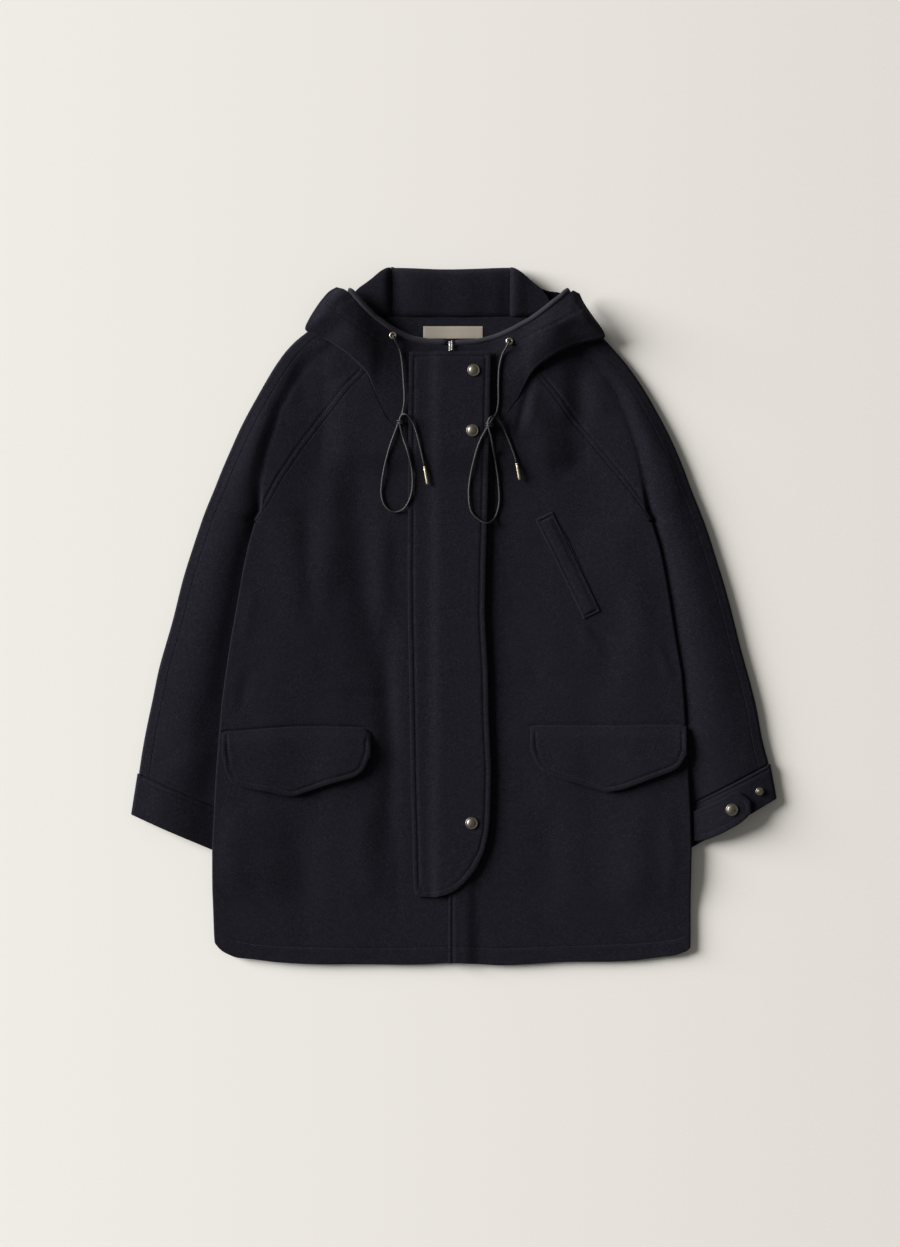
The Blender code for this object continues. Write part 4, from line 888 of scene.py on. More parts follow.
def back_panel():
    """The back, lying on the floor, with the hood folded under its upper end."""
    levels = [HEM_ROWS_START + step for step in (0, 1, 3, 6, 10, 14, 18, 22, 28)]
    levels += list(np.arange(-370, 365, 7.0)) + [366, 369, 371.5, 372.5]
    grid = []
    for y in levels:
        ends = []
        for side in (LEFT, RIGHT):
            if y <= UNDERARM:
                end = side_line(side, y) - SIDE_ROLL - FOLD_SEAM
                curl = smooth((UNDERARM - y) / 38)
                seam = raglan_line(side, UNDERARM) - SIDE_ROLL - FOLD_SEAM
                end = seam + (end - seam) * curl - UNDERARM_GAP * smooth((y - 80) / 22)
            elif y <= RAGLAN_TOP:
                end = raglan_line(side, y) - SEAM
            else:
                end = NECK_END - SEAM - 20 * smooth((y - 340) / 33)
            ends.append(side * float(end))
        x = ends[0] + spread(ends[1] - ends[0], (0, 0.8, 2, 5, 10, 16, 24), (24, 16, 10, 5, 2, 0.8, 0), 56)
        level = np.full(len(x), float(y))
        if y < -375:
            level = hem_line(x) + 0.5 + (y - HEM_ROWS_START) * (-372.0 - hem_line(x)) / 32.0
        grid.append(np.stack((x, level, back_height(x, level) + CLOTH), axis=1))
    return shell("back_cloth", grid, upright=True)


def hood_side(side):
    """The front half of a hood side panel, from the neck seam and the fold over the shoulder to the
    opening edge."""
    table = [(*low, *high, low_rise, high_rise, curl) for low, high, low_rise, high_rise, curl in HOOD[side]]
    columns = []
    for place in np.linspace(0, len(table) - 1, 150):
        low_x, low_y, high_x, high_y, low_rise, high_rise, curl = between(table, place)
        low_y -= 0.8 * (1 - curl)
        low = np.array((low_x, low_y, float(front_height(low_x, low_y)) + low_rise * LOBE_SCALE))
        high = np.array((high_x, high_y, float(front_height(high_x, high_y)) + high_rise * LOBE_SCALE))
        inward = np.array((high_x - low_x, high_y - low_y, 0.0))
        length = float(np.linalg.norm(inward))
        inward /= length
        radius = max(CLOTH + 0.4, min(LOBE_ROLL, 0.34 * length))
        start = low + inward * curl_reach(radius, curl)
        column = [start - inward * out - (0, 0, down) for out, down in reversed(curl_points(radius, curl))]
        shares = spread(length, (0, 2), (9, 6, 3.5, 1.6, 0.7, 0), 24)[1:] / length
        points = start + (high - start) * shares[:, None]
        arch = curl * np.sin(math.pi * shares)
        points[:, 2] += arch * (LOBE_BULGE * min(1.0, length / 45) + fold_sum(LOBE_FOLDS, *points.T[:2]))
        if curl < 0.2:
            least = front_height(*points.T[:2]) + high_rise * shares * LOBE_SCALE
            points[:, 2] = np.maximum(points[:, 2], least)
        column += list(points)
        columns.append(column)
    columns = np.array(columns)
    # ease the side along the opening edge, but hold the edge itself
    hold = smooth(np.arange(columns.shape[1])[::-1] / 5.0)[None, :, None]
    for _ in range(7):
        columns = columns * (1 - hold) + soften(columns.swapaxes(0, 1), 1).swapaxes(0, 1) * hold
    return shell(f"hood_side_{word(side)}_cloth", columns, stitching=HOOD_STITCHES[side], roll=0.25,
                 bulge=0.1)


def binding(side):
    """The binding along the hood's opening edge, an oval roll of cloth a narrow gap away from it."""
    table = [(*low, *high, high_rise) for low, high, _, high_rise, _ in HOOD[side]]
    last = len(table) - 1
    centres = []
    for place in np.linspace(0, last - 0.3, 130):
        low_x, low_y, high_x, high_y, high_rise = between(table, place)
        out = Vector((high_x - low_x, high_y - low_y, 0.0)).normalized()
        gap = BINDING_GAP + (TIP_GAP - BINDING_GAP) * float(smooth(place - last + 1))
        height = float(front_height(high_x, high_y)) + high_rise * LOBE_SCALE - CLOTH / 2
        centre = Vector((high_x, high_y, height)) + out * (BINDING_WIDTH / 2 + gap)
        centre.x = (min if side == LEFT else max)(centre.x, BINDING_END[side])
        # skip places too close together, as they are at the clipped end
        if not centres or (centre - centres[-1]).length > 1.6:
            centres.append(centre)
    profile = []
    for step in range(20):
        angle = 2 * math.pi * (step + 0.5) / 20
        stretch = 1.0 + 0.06 * math.cos(4 * angle)     # a little leaner than an oval between its axes
        profile.append((math.cos(angle) * stretch, math.sin(angle) * stretch))
    rings = []
    for number, centre in enumerate(centres):
        along = centres[min(number + 1, len(centres) - 1)] - centres[max(number - 1, 0)]
        across = Vector((-along.y, along.x, 0.0)).normalized()
        end = min(number, len(centres) - 1 - number)
        size = (0.72, 0.93, 1.0)[min(end, 2)]     # smaller at both ends
        wide, tall = BINDING_WIDTH / 2 * size, BINDING_HEIGHT / 2 * size
        rings.append([centre + across * (wide * out) + Vector((0, 0, tall * up)) for out, up in profile])
    return tube(f"binding_{word(side)}_cloth", rings)


def tube_faces(first, rings, sides):
    """The faces of a tube whose rings of points start at a number, with a cap at both ends."""
    faces = []
    for row in range(first, first + (rings - 1) * sides, sides):
        for step in range(sides):
            one, two = row + step, row + (step + 1) % sides
            faces.append((one, two, two + sides, one + sides))
    last = first + (rings - 1) * sides
    return faces + [tuple(reversed(range(first, first + sides))), tuple(range(last, last + sides))]


def tube(name, rings):
    """A closed solid through rings of points."""
    return solid(name, [tuple(point) for ring in rings for point in ring],
                 tube_faces(0, len(rings), len(rings[0])))


def hood_back(name, first, last):
    """A panel of the hood that stands up from the neck seam, folds over at the top and lies doubled
    under the upper back. first and last give its two edges from a row of the path."""
    path = [between(HOOD_PATH, place) for place in np.linspace(0, len(HOOD_PATH) - 1, 110)]
    grid = []
    width = max(last(row) - first(row) for row in path)
    near = (0, 0.8, 2.0, 4.0, 6.5)
    for share in spread(width, near, near[::-1], max(4, round(width / 4.5))) / width:
        line = []
        for row in path:
            x = first(row) + (last(row) - first(row)) * share
            # each panel bows up between its edges, and the centre strip's seams sink between them
            swell = 0.8 * math.sin(math.pi * share) + 0.5 * math.sin(x * 0.11)
            seam = abs(x + HOOD_SEAMS[0]) if x < 0 else abs(x - HOOD_SEAMS[1])
            if -HOOD_SEAMS[0] < x < HOOD_SEAMS[1]:
                swell -= 2.8 * math.exp(-(seam / 13) ** 2)
            else:
                swell += 1.5 * math.exp(-((seam - 9) / 9) ** 2) - 2.0 * math.exp(-(seam / 3.2) ** 2)
            # the fold at the top end droops unevenly
            top = float(smooth((row[0] - 412) / 18))
            droop = 1.3 * math.cos(math.pi * min(1.0, abs(x + 4) / 90)) + 0.3
            line.append((x, row[0] - top * droop, row[1] + swell * float(smooth((row[1] - 5.4) / 4))))
        grid.append(line)
    return shell(name, grid, plane=(-1.0, 0.0, 0.0), roll=0.3, bulge=0.12)


def strip(name, rows, height, thickness, near, steps, stitching=(), cross=14, rounding=0):
    """A flat piece that lies on the cloth: rows of two end points, its underside at height(x, y)."""
    grid = []
    lengths = [math.dist(one[0], two[0]) for one, two in zip(rows, rows[1:])]
    index = np.concatenate(([0.0], np.cumsum(lengths)))
    places = spread(sum(lengths), near, near[::-1], steps)
    columns = np.array([(*one, *two) for one, two in rows]).T
    ends = np.array([np.interp(places, index, column) for column in columns])
    for x0, y0, x1, y1 in soften(ends, rounding).T:
        width = math.dist((x0, y0), (x1, y1))
        shares = spread(width, near, near[::-1], cross) / width
        x, y = x0 + (x1 - x0) * shares, y0 + (y1 - y0) * shares
        grid.append(np.stack((x, y, height(x, y) + LAY + thickness), axis=1))
    return shell(name, grid, thickness=thickness, upright=True, stitching=stitching)


EDGE_STEPS = (0, 0.6, 1.4, 2.6, 4.2, 5.4, 6.2, 7.0, 8.2, 10.5)


def placket():
    """The wind placket over the zip."""
    rows = [((left, y), (right, y)) for y, left, right in PLACKET]
    return strip("placket_cloth", rows, on_front, PLACKET_THICK, EDGE_STEPS, 150,
                 stitching=PLACKET_STITCHES, rounding=6)


def pocket_flap(side):
    """A pocket flap, swelling towards its point."""
    table = FLAPS[side]
    first, last = table[0][0], table[-1][0]
    grid = []
    for x in first + spread(last - first, EDGE_STEPS, EDGE_STEPS[::-1], 52):
        top, low = (float(np.mean([read(table, x + shift, column) for shift in (-4, -2, 0, 2, 4)]))
                    for column in (1, 2))
        shares = spread(top - low, EDGE_STEPS, EDGE_STEPS[::-1], 16) / (top - low)
        y = top + (low - top) * shares
        swell = FLAP_SWELL * np.sin(math.pi * shares * 0.62)
        sewn_down = 1.0 - smooth((top - y) / 16)
        height = front_height(x, y) + FLAP_STAND + FLAP_THICK + swell - FLAP_SINK * sewn_down
        grid.append(np.stack((np.full(len(y), x), y, height), axis=1))
    return shell(f"flap_{word(side)}_cloth", grid, thickness=FLAP_WALL, upright=True,
                 stitching=FLAP_STITCHES[side])


def right_cuff_height(x, y):
    """Face of the right cuff at a point."""
    top_in, top_out, low_in, low_out = CUFFS[RIGHT][:4]
    share = np.full(np.shape(x), 0.5)
    for _ in range(8):
        outer = cuff_row(RIGHT, share)[2]
        along = (x - CUFF_INNER) / (outer - CUFF_INNER)
        top = top_in + along * (top_out - top_in)
        low = low_in + along * (low_out - low_in)
        share = (y - top) / (low - top)
    return cuff_height(RIGHT, np.clip(share, 0.0, 1.0), x)


def cuff_tab():
    """The adjusting tab on the right cuff, with its end cut to a blunt point."""
    return strip("cuff_tab_cloth", TAB, lambda x, y: right_cuff_height(x, y) + LAY, TAB_THICK,
                 EDGE_STEPS[:8], 16, stitching=TAB_STITCHES, cross=8, rounding=1)


def chest_welt():
    """The slanted welt of the chest pocket."""
    out_x, out_y = WELT_BORDER
    rows = [((x0 - out_x, y0 - out_y), (x1 + out_x, y1 + out_y)) for (x0, y0), (x1, y1) in WELT]
    (top_left, top_right), (low_left, low_right) = rows[0], rows[-1]
    corners = (top_left, top_right, low_right, low_left, top_left)

    def height(x, y):
        inset = line_distance(corners, x, y)[0]
        border = smooth(inset / 1.3) * 1.1
        groove = 1.0 * np.exp(-((inset - 4.2) / 0.9) ** 2)
        return front_height(x, y) + border + 0.8 * smooth((inset - 4.6) / 1.6) - groove - WELT_THICK

    near = (0, 0.6, 1.3, 2.2, 3.2, 3.8, 4.2, 4.6, 5.2, 6.2)
    return strip("chest_welt_cloth", rows, height, WELT_THICK, near, 40, cross=6)


def neck_label():
    """The neck label, on the inside of the back."""
    left, right = LABEL_X
    rows = [((left, y), (right, y)) for y in LABEL_Y]
    behind = float(back_height(0, 350)) + CLOTH
    return strip("neck_label_cloth", rows, lambda x, y: behind + 0.25 * np.sin(x * 0.12), LABEL_THICK,
                 (0, 0.5, 1.2, 2.0), 8, cross=24)


def hood_face(x, y):
    """Face of the hood's front near the placket, or of the front below the neck seam."""
    x, y = np.asarray(x, float), np.asarray(y, float)
    rises = [read([(abs(high[0]), high_rise) for _, high, _, high_rise, _ in HOOD[side]], np.abs(x), 1)
             for side in (LEFT, RIGHT)]
    rise = np.where(x < 0, *rises)
    return front_height(x, y) + rise * LOBE_SCALE * smooth((y - 236) / 100)


def placket_face(x, y):
    """Height of whatever lies uppermost at a point where the drawcords pass."""
    left, right = (look_up(PLACKET, y, column) for column in (1, 2))
    face = hood_face(x, y)
    inside = smooth((np.minimum(x - left, right - x) + 8.0) / 5.0)
    return face + inside * (on_front(x, y) + LAY + PLACKET_THICK - face)


def eased(route, spacing):
    """A route with rounded corners, through all of its points."""
    points = []
    for number in range(len(route) - 1):
        before = route[max(number - 1, 0)]
        after = route[min(number + 2, len(route) - 1)]
        one, two = route[number], route[number + 1]
        pieces = max(1, round((two - one).length / spacing))
        for step in range(pieces):
            t = step / pieces
            points.append(0.5 * ((2 * one) + (two - before) * t
                                 + (2 * before - 5 * one + 4 * two - after) * t ** 2
                                 + (3 * one - before - 3 * two + after) * t ** 3))
    points.append(route[-1])
    return points


def drawcord(side):
    """The end of the drawcord, from its eyelet down to its knot, round a loop and on to its tip."""
    route = eased([Vector((x, y, float(placket_face(x, y)) + rise + CORD / 2 + 2 * LAY))
                   for x, y, rise in CORDS[side]], 2.4)
    curve = bpy.data.curves.new(f"drawcord_{word(side)}_braid", "CURVE")
    curve.dimensions = "3D"
    spline = curve.splines.new("POLY")
    spline.points.add(len(route) - 1)
    for point, place in zip(spline.points, route):
        point.co = (*(place * MM), 1.0)
    curve.bevel_depth = CORD / 2 * MM
    curve.bevel_resolution = 4
    curve.use_fill_caps = True
    made = bpy.data.objects.new(curve.name, curve)
    bpy.context.scene.collection.objects.link(made)
    length = sum((two - one).length for one, two in zip(route, route[1:]))
    return made, route[0] * MM, length * MM


def circle(centre, out, up, radius, steps):
    """Points round a circle in the plane of two directions."""
    angles = [2 * math.pi * step / steps for step in range(steps)]
    return [centre + (out * math.cos(angle) + up * math.sin(angle)) * radius for angle in angles]


def knot(side):
    """The overhand knot where the drawcord crosses itself: a coil round the two runs."""
    x, y = KNOTS[side]
    height = float(placket_face(x, y)) + KNOT_RISE
    wide, long, tall = 3.6, 4.6, 2.9
    turns, steps = 1.7, 64
    rings = []
    for step in range(steps):
        turn = 2 * math.pi * turns * step / (steps - 1)
        drift = long * (step / (steps - 1) - 0.5)
        centre = Vector((x + wide * math.cos(turn), y + drift, height + tall * math.sin(turn)))
        ahead = Vector((-wide * math.sin(turn), long / (2 * math.pi * turns), tall * math.cos(turn)))
        ahead.normalize()
        out = Vector((math.cos(turn), 0.0, math.sin(turn)))
        out = (out - ahead * out.dot(ahead)).normalized()
        up = ahead.cross(out)
        rings.append(circle(centre, out, up, CORD / 2, 12))
    return tube(f"drawcord_{word(side)}_knot", rings)


def turned(name, profile, centre, sides=48):
    """A turned piece from a profile of radii and heights; a radius of 0 closes it at its axis."""
    points, rings = [], []
    for radius, height in profile:
        if radius == 0:
            rings.append([len(points)])
            points.append((centre[0], centre[1], centre[2] + height))
            continue
        rings.append(list(range(len(points), len(points) + sides)))
        for step in range(sides):
            angle = 2 * math.pi * step / sides
            points.append((centre[0] + radius * math.cos(angle), centre[1] + radius * math.sin(angle),
                           centre[2] + height))
    faces = []
    for one, two in zip(rings, rings[1:] + rings[:1] * (profile[0][0] > 0)):
        for step in range(sides):
            corners = (one[step % len(one)], one[(step + 1) % len(one)], two[(step + 1) % len(two)],
                       two[step % len(two)])
            corners = tuple(dict.fromkeys(corners))
            if len(corners) > 2:
                faces.append(corners)
    return solid(name, points, faces)


def snap_cap(name, x, y, height, diameter=SNAP):
    """A domed snap cap: a rolled rim, a shallow channel inside it and a low dome."""
    r = diameter / 2
    profile = ((0, 0), (r - 0.7, 0), (r - 0.2, 0.25), (r, 0.75), (r - 0.12, 1.2), (r - 0.5, 1.55),
               (r - 1.0, 1.6), (r - 1.4, 1.42), (r - 1.7, 1.36), (r - 2.1, 1.55), (r * 0.6, 2.25),
               (r * 0.42, 2.68), (r * 0.22, 2.95), (r * 0.08, 3.06), (0, 3.08))
    return turned(name, profile, (x, y, height), 64)


def highest(x, y, reach, height):
    """The highest face under a small round piece."""
    steps = (-reach, 0, reach)
    return max(float(height(x + dx, y + dy)) for dx in steps for dy in steps)


def cord_tip(side):
    """The metal tip on a drawcord's end, crimped near its mouth."""
    (x0, y0), (x1, y1) = TIPS[side]
    radius = CORD / 2 + 0.5
    height = max(float(placket_face(x0, y0)), float(placket_face(x1, y1))) + radius + LAY
    along = Vector((x1 - x0, y1 - y0, 0.0))
    length = along.length
    along.normalize()
    across = Vector((-along.y, along.x, 0.0))
    stations = [(0, radius - 0.5), (0.25, radius - 0.1), (0.8, radius), (1.6, radius), (2.2, radius - 0.3),
                (2.8, radius - 0.34), (3.4, radius), (5, radius), (length - 6, radius),
                (length - 1.4, radius), (length - 0.5, radius - 0.14), (length - 0.1, radius - 0.5),
                (length, radius - 0.9)]
    rings = []
    for distance, size in stations:
        centre = Vector((x0, y0, height)) + along * distance
        rings.append(circle(centre, across, Vector((0, 0, 1)), size, 28))
    return tube(f"cord_tip_{word(side)}_metal", rings)


def zip_teeth():
    """The top of the zip: two rows of metal teeth on their tape, ended by a stop."""
    base = float(front_height(-3, 336)) + LAY
    work = bmesh.new()
    # place and size of each tooth in two rows that mesh, then of the two stops
    teeth = [((x, 330.0 + 1.75 * step + 0.85 * row, base + 2.35), (2.7, 0.95, 1.5))
             for row, x in ((0, -4.6), (1, -1.9)) for step in range(7)]
    stops = [((x, 336.5, base + 0.85), (1.9, 4.2, 0.6)) for x in (-4.6, -1.6)]
    for centre, size in teeth + stops:
        for vertex in bmesh.ops.create_cube(work, size=1.0)["verts"]:
            vertex.co = Vector(centre) + vertex.co * Vector(size)
    bmesh.ops.bevel(work, geom=list(work.edges), offset=0.22, segments=2, affect="EDGES")
    points = [tuple(vertex.co) for vertex in work.verts]
    faces = [[vertex.index for vertex in face.verts] for face in work.faces]
    work.free()
    return solid("zip_end_teeth", points, faces)


# size of the thread and its lift off the cloth, in its own radius, at five places along one run
THREAD_SHAPE = ((0.35, -0.35), (0.9, 0.05), (1.0, 0.2), (0.9, 0.05), (0.35, -0.35))
THREAD_SIDES = 6         # how many sides it has


def stitch_row(points, faces, surface, line, length, gap, radius):
    """Add the thread of one sewn line: short runs that rise from the cloth and dip back into it."""
    route = [Vector((*point, 0.0)) for point in line]
    route = eased(route, 1.2)
    marks = [0.0]
    for one, two in zip(route, route[1:]):
        marks.append(marks[-1] + (two - one).length)
    place = length / 2
    while place < marks[-1] - length / 2:
        ends = []
        for shift in (-0.5, -0.25, 0.0, 0.25, 0.5):
            distance = place + length * shift
            x = float(np.interp(distance, marks, [point.x for point in route]))
            y = float(np.interp(distance, marks, [point.y for point in route]))
            hit = surface.ray_cast(Vector((x * MM, y * MM, 0.2)), Vector((0, 0, -1)))
            if hit[0] is None:
                break
            ends.append(Vector((x, y, hit[0].z / MM)))
        place += length + gap
        if len(ends) < len(THREAD_SHAPE) or ends[0].z < 2.0:
            continue
        along = (ends[-1] - ends[0]).normalized()
        across = Vector((-along.y, along.x, 0.0)).normalized()
        up = along.cross(across) * -1.0
        up = up if up.z > 0 else -up
        first = len(points)
        for centre, (size, lift) in zip(ends, THREAD_SHAPE):
            for step in range(THREAD_SIDES):
                angle = 2 * math.pi * step / THREAD_SIDES
                point = centre + across * (math.cos(angle) * radius * size)
                points.append(tuple(point + up * ((math.sin(angle) * size + lift) * radius)))
        faces += tube_faces(first, len(THREAD_SHAPE), THREAD_SIDES)


def stitching(name, pieces_and_lines):
    """All the topstitching of a group of pieces as one object."""
    sizes = bpy.context.scene.parka_sizes
    points, faces = [], []
    depsgraph = bpy.context.evaluated_depsgraph_get()
    for piece, lines in pieces_and_lines:
        surface = BVHTree.FromObject(bpy.data.objects[piece], depsgraph)
        for line in lines:
            stitch_row(points, faces, surface, line, sizes.stitch_length / MM, sizes.stitch_gap / MM,
                       sizes.thread / 2 / MM)
    return solid(name, points, faces)


class Nodes:
    """A short way to write a material's nodes."""

    def __init__(self, name):
        self.material = bpy.data.materials.new(name)
        self.material.use_nodes = True
        self.tree = self.material.node_tree
        self.shader = self.tree.nodes["Principled BSDF"]
        self.where = self.add("TexCoord").outputs["Object"]

    def add(self, kind, inputs=None, **settings):
        """Add a node, with its settings and its inputs: numbers, or sockets to link."""
        node = self.tree.nodes.new("ShaderNode" + kind)
        for key, value in settings.items():
            setattr(node, key, value)
        for key, value in (inputs or {}).items():
            self.join(value, node.inputs[key])
        return node

    def join(self, value, socket):
        """Link a socket to an input, or set the input."""
        if isinstance(value, bpy.types.NodeSocket):
            self.tree.links.new(value, socket)
        else:
            socket.default_value = value

    def noise(self, scale, detail=3.0, roughness=0.55, where=None):
        """A noise of a scale in features per metre."""
        inputs = {"Vector": where or self.where, "Scale": scale, "Detail": detail, "Roughness": roughness}
        return self.add("TexNoise", inputs).outputs["Fac"]

    def wave(self, where, scale, distortion, axis="X", detail=2.0, detail_scale=1.0):
        """Ribs across one direction, in a scale of features per metre."""
        inputs = {"Vector": where, "Scale": scale, "Distortion": distortion, "Detail": detail,
                  "Detail Scale": detail_scale}
        return self.add("TexWave", inputs, bands_direction=axis).outputs["Fac"]

    def turned_place(self, angle, stretch):
        """The place, turned about Z and stretched along one direction, for fibres."""
        inputs = {"Vector": self.where, "Rotation": (0.0, 0.0, angle), "Scale": (1.0, stretch, 1.0)}
        return self.add("Mapping", inputs).outputs["Vector"]

    def ramp(self, value, *stops):
        """Colours or greys at given values."""
        ramp = self.add("ValToRGB", {"Fac": value})
        elements = ramp.color_ramp.elements
        while len(elements) < len(stops):
            elements.new(0.5)
        for element, (place, colour) in zip(elements, stops):
            element.position = place
            grey = isinstance(colour, float)
            element.color = (colour, colour, colour, 1.0) if grey else (*colour[:3], 1.0)
        return ramp.outputs["Color"]

    def mix(self, amount, one, two, blend="MIX"):
        """Mix two colours."""
        node = self.add("Mix", data_type="RGBA", blend_type=blend)
        sockets = [socket for socket in node.inputs if socket.type == "RGBA"]
        self.join(amount, node.inputs["Factor"])
        for value, socket in ((one, sockets[0]), (two, sockets[1])):
            self.join(value if isinstance(value, bpy.types.NodeSocket) else (*value[:3], 1.0), socket)
        return next(socket for socket in node.outputs if socket.type == "RGBA")

    def calculate(self, kind, one, two=0.0):
        """A sum, product or other calculation."""
        node = self.add("Math", operation=kind)
        self.join(one, node.inputs[0])
        self.join(two, node.inputs[1])
        return node.outputs[0]

    def bump(self, *layers):
        """Bumps laid over each other: height socket, strength and depth in metres."""
        normal = None
        for height, strength, depth in layers:
            inputs = {"Height": height, "Strength": strength, "Distance": depth}
            if normal:
                inputs["Normal"] = normal
            normal = self.add("Bump", inputs).outputs["Normal"]
        self.join(normal, self.shader.inputs["Normal"])

    def finish(self, **values):
        """Set the shader's own values."""
        for key, value in values.items():
            self.join(value, self.shader.inputs[key.replace("_", " ").title().replace("Ior", "IOR")])
        return self.material


def shade(colour, amount):
    """A colour made lighter or darker."""
    return tuple(min(1.0, value * amount) for value in colour[:3])


def made_once(function):
    """Keep a material once made, and hand it out again."""
    def finish(name, *values):
        return bpy.data.materials.get(name) or function(Nodes(name), *values)
    return finish


@made_once
def wool_finish(made, colours):
    """Thick fulled wool: matted fibres, a heathered fleck, a faint nap and a soft sheen."""
    wool = colours.wool
    felt = made.noise(560, 5.0, 0.75)
    grain = made.noise(1500, 3.0, 0.7)
    clumps = made.noise(190, 4.0, 0.62)
    patches = made.noise(17, 3.0, 0.5)
    strands, crossed = (made.noise(1250, 2.0, 0.5, made.turned_place(angle, 0.32)) for angle in (0.6, -0.9))
    fibres = made.calculate("MAXIMUM", strands, crossed)
    base = made.ramp(felt, (0.36, shade(wool, 0.2)), (0.5, wool), (0.64, shade(wool, 2.8)))
    for height, low, high, amount, tone in ((grain, 0.42, 0.68, 0.6, 2.4), (clumps, 0.38, 0.68, 0.4, 0.62),
                                            (patches, 0.38, 0.66, 0.35, 1.35)):
        base = made.mix(made.ramp(height, (low, 0.0), (high, amount)), base, shade(wool, tone))
    base = made.mix(made.ramp(fibres, (0.70, 0.0), (0.80, 0.5)), base, colours.fleck)
    made.bump((patches, 0.3, 0.0010), (clumps, 0.5, 0.0007), (felt, 0.75, 0.0006), (grain, 0.55, 0.00025))
    return made.finish(base_color=base, roughness=made.ramp(clumps, (0.3, 0.88), (0.7, 0.99)),
                       sheen_weight=0.035, sheen_roughness=0.6, sheen_tint=(0.74, 0.76, 0.9, 1.0),
                       specular_ior_level=0.07)


@made_once
def thread_finish(made, colours):
    """Dark twisted thread with a little lustre."""
    twist = made.noise(2600, 2.0, 0.5, made.turned_place(0.8, 0.4))
    made.bump((twist, 0.5, 0.0001))
    base = made.ramp(twist, (0.3, shade(colours.wool, 0.8)), (0.7, shade(colours.wool, 2.1)))
    return made.finish(base_color=base, roughness=0.62, specular_ior_level=0.35)


@made_once
def binding_finish(made, colours):
    """A ribbed cotton and wool tape, paler and bluer than the cloth."""
    ribs = made.wave(made.where, 260.0, 2.2, detail=2.0, detail_scale=3.0)
    fuzz = made.noise(1500, 3.0, 0.6)
    worn = made.noise(90, 3.0, 0.6)
    base = made.ramp(ribs, (0.2, shade(colours.binding, 0.68)), (0.75, shade(colours.binding, 1.15)))
    base = made.mix(made.ramp(fuzz, (0.45, 0.0), (0.75, 0.6)), base, shade(colours.binding, 1.7))
    base = made.mix(made.ramp(worn, (0.45, 0.0), (0.7, 0.4)), base, shade(colours.binding, 1.35))
    made.bump((ribs, 0.5, 0.0003), (fuzz, 0.45, 0.0002))
    return made.finish(base_color=base, roughness=made.ramp(fuzz, (0.3, 0.8), (0.7, 0.94)),
                       sheen_weight=0.12, sheen_roughness=0.5, sheen_tint=(0.8, 0.82, 0.95, 1.0),
                       specular_ior_level=0.25)


@made_once
def cord_finish(made, colours):
    """A tightly braided waxed cord."""
    one, two = (made.wave(made.turned_place(angle, 1.0), 380.0, 0.6) for angle in (0.78, -0.78))
    braid = made.calculate("MULTIPLY", one, two)
    dust = made.noise(700, 3.0, 0.6)
    base = made.ramp(braid, (0.05, shade(colours.cord, 0.5)), (0.6, shade(colours.cord, 1.3)))
    base = made.mix(made.ramp(dust, (0.5, 0.0), (0.8, 0.3)), base, shade(colours.cord, 2.2))
    made.bump((braid, 0.6, 0.00022))
    return made.finish(base_color=base, roughness=made.ramp(dust, (0.3, 0.36), (0.75, 0.58)),
                       specular_ior_level=0.5)


@made_once
def metal_finish(made, colour, dark, rough):
    """A cast metal with a patina in its hollows and small scratches."""
    patina = made.noise(420, 4.0, 0.62)
    scratch = made.noise(1600, 2.0, 0.5, made.turned_place(0.4, 0.08))
    made.bump((scratch, 0.25, 0.00005), (patina, 0.2, 0.0001))
    return made.finish(base_color=made.mix(made.ramp(patina, (0.36, 0.0), (0.68, 0.85)), colour, dark),
                       roughness=made.ramp(patina, (0.3, rough), (0.75, rough + 0.22)), metallic=1.0)


@made_once
def label_finish(made, colours):
    """A plain woven cotton label."""
    warp, weft = (made.wave(made.where, scale, 0.5, axis) for scale, axis in ((900.0, "X"), (620.0, "Y")))
    weave = made.calculate("MULTIPLY", warp, weft)
    soil = made.noise(120, 3.0, 0.6)
    base = made.ramp(weave, (0.1, shade(colours.label, 0.78)), (0.7, shade(colours.label, 1.08)))
    base = made.mix(made.ramp(soil, (0.4, 0.0), (0.75, 0.3)), base, shade(colours.label, 0.82))
    made.bump((weave, 0.5, 0.00012), (soil, 0.3, 0.0003))
    return made.finish(base_color=base, roughness=0.82, sheen_weight=0.1, specular_ior_level=0.3)


@made_once
def floor_finish(made, colours):
    """A matt pale studio floor with a faint mottle, and painted shade that darkens it away from the window.
    """
    grain = made.noise(300, 3.0, 0.5)
    # painted shade: the floor's colour darkens across X from the window side to the far side, standing in for
    # the light's falloff
    across = made.add("SeparateXYZ", {"Vector": made.where}).outputs["X"]
    across = made.add("MapRange", {"Value": across, "From Min": -0.6, "From Max": 0.6}).outputs["Result"]
    base = made.mix(across, colours.floor, colours.floor_painted_shade)
    base = made.mix(made.ramp(grain, (0.3, 0.0), (0.7, 0.25)), base, shade(colours.floor, 0.93))
    made.bump((grain, 0.1, 0.0001))
    return made.finish(base_color=base, roughness=0.95, specular_ior_level=0.0)


def finish_of(kind):
    """The material of a kind of surface, in the colours that the scene holds."""
    colours = bpy.context.scene.parka_colours
    if kind in FINISHES:
        function, name = FINISHES[kind]
        return function(name, colours)
    name, colour, dark, rough = {
        "snap_metal": ("Aged snap metal", colours.snap, shade(colours.snap, 0.3), 0.34),
        "brass": ("Pale brass", colours.brass, shade(colours.brass, 0.45), 0.26),
        "zip": ("Pale zip metal", (0.84, 0.83, 0.79), (0.62, 0.61, 0.57), 0.45),
    }[kind]
    return metal_finish(name, colour, dark, rough)


FINISHES = {
    "wool": (wool_finish, "Fulled wool"),
    "thread": (thread_finish, "Sewing thread"),
    "binding": (binding_finish, "Ribbed tape"),
    "cord": (cord_finish, "Waxed braid"),
    "label": (label_finish, "Woven label"),
    "floor": (floor_finish, "Studio floor"),
}


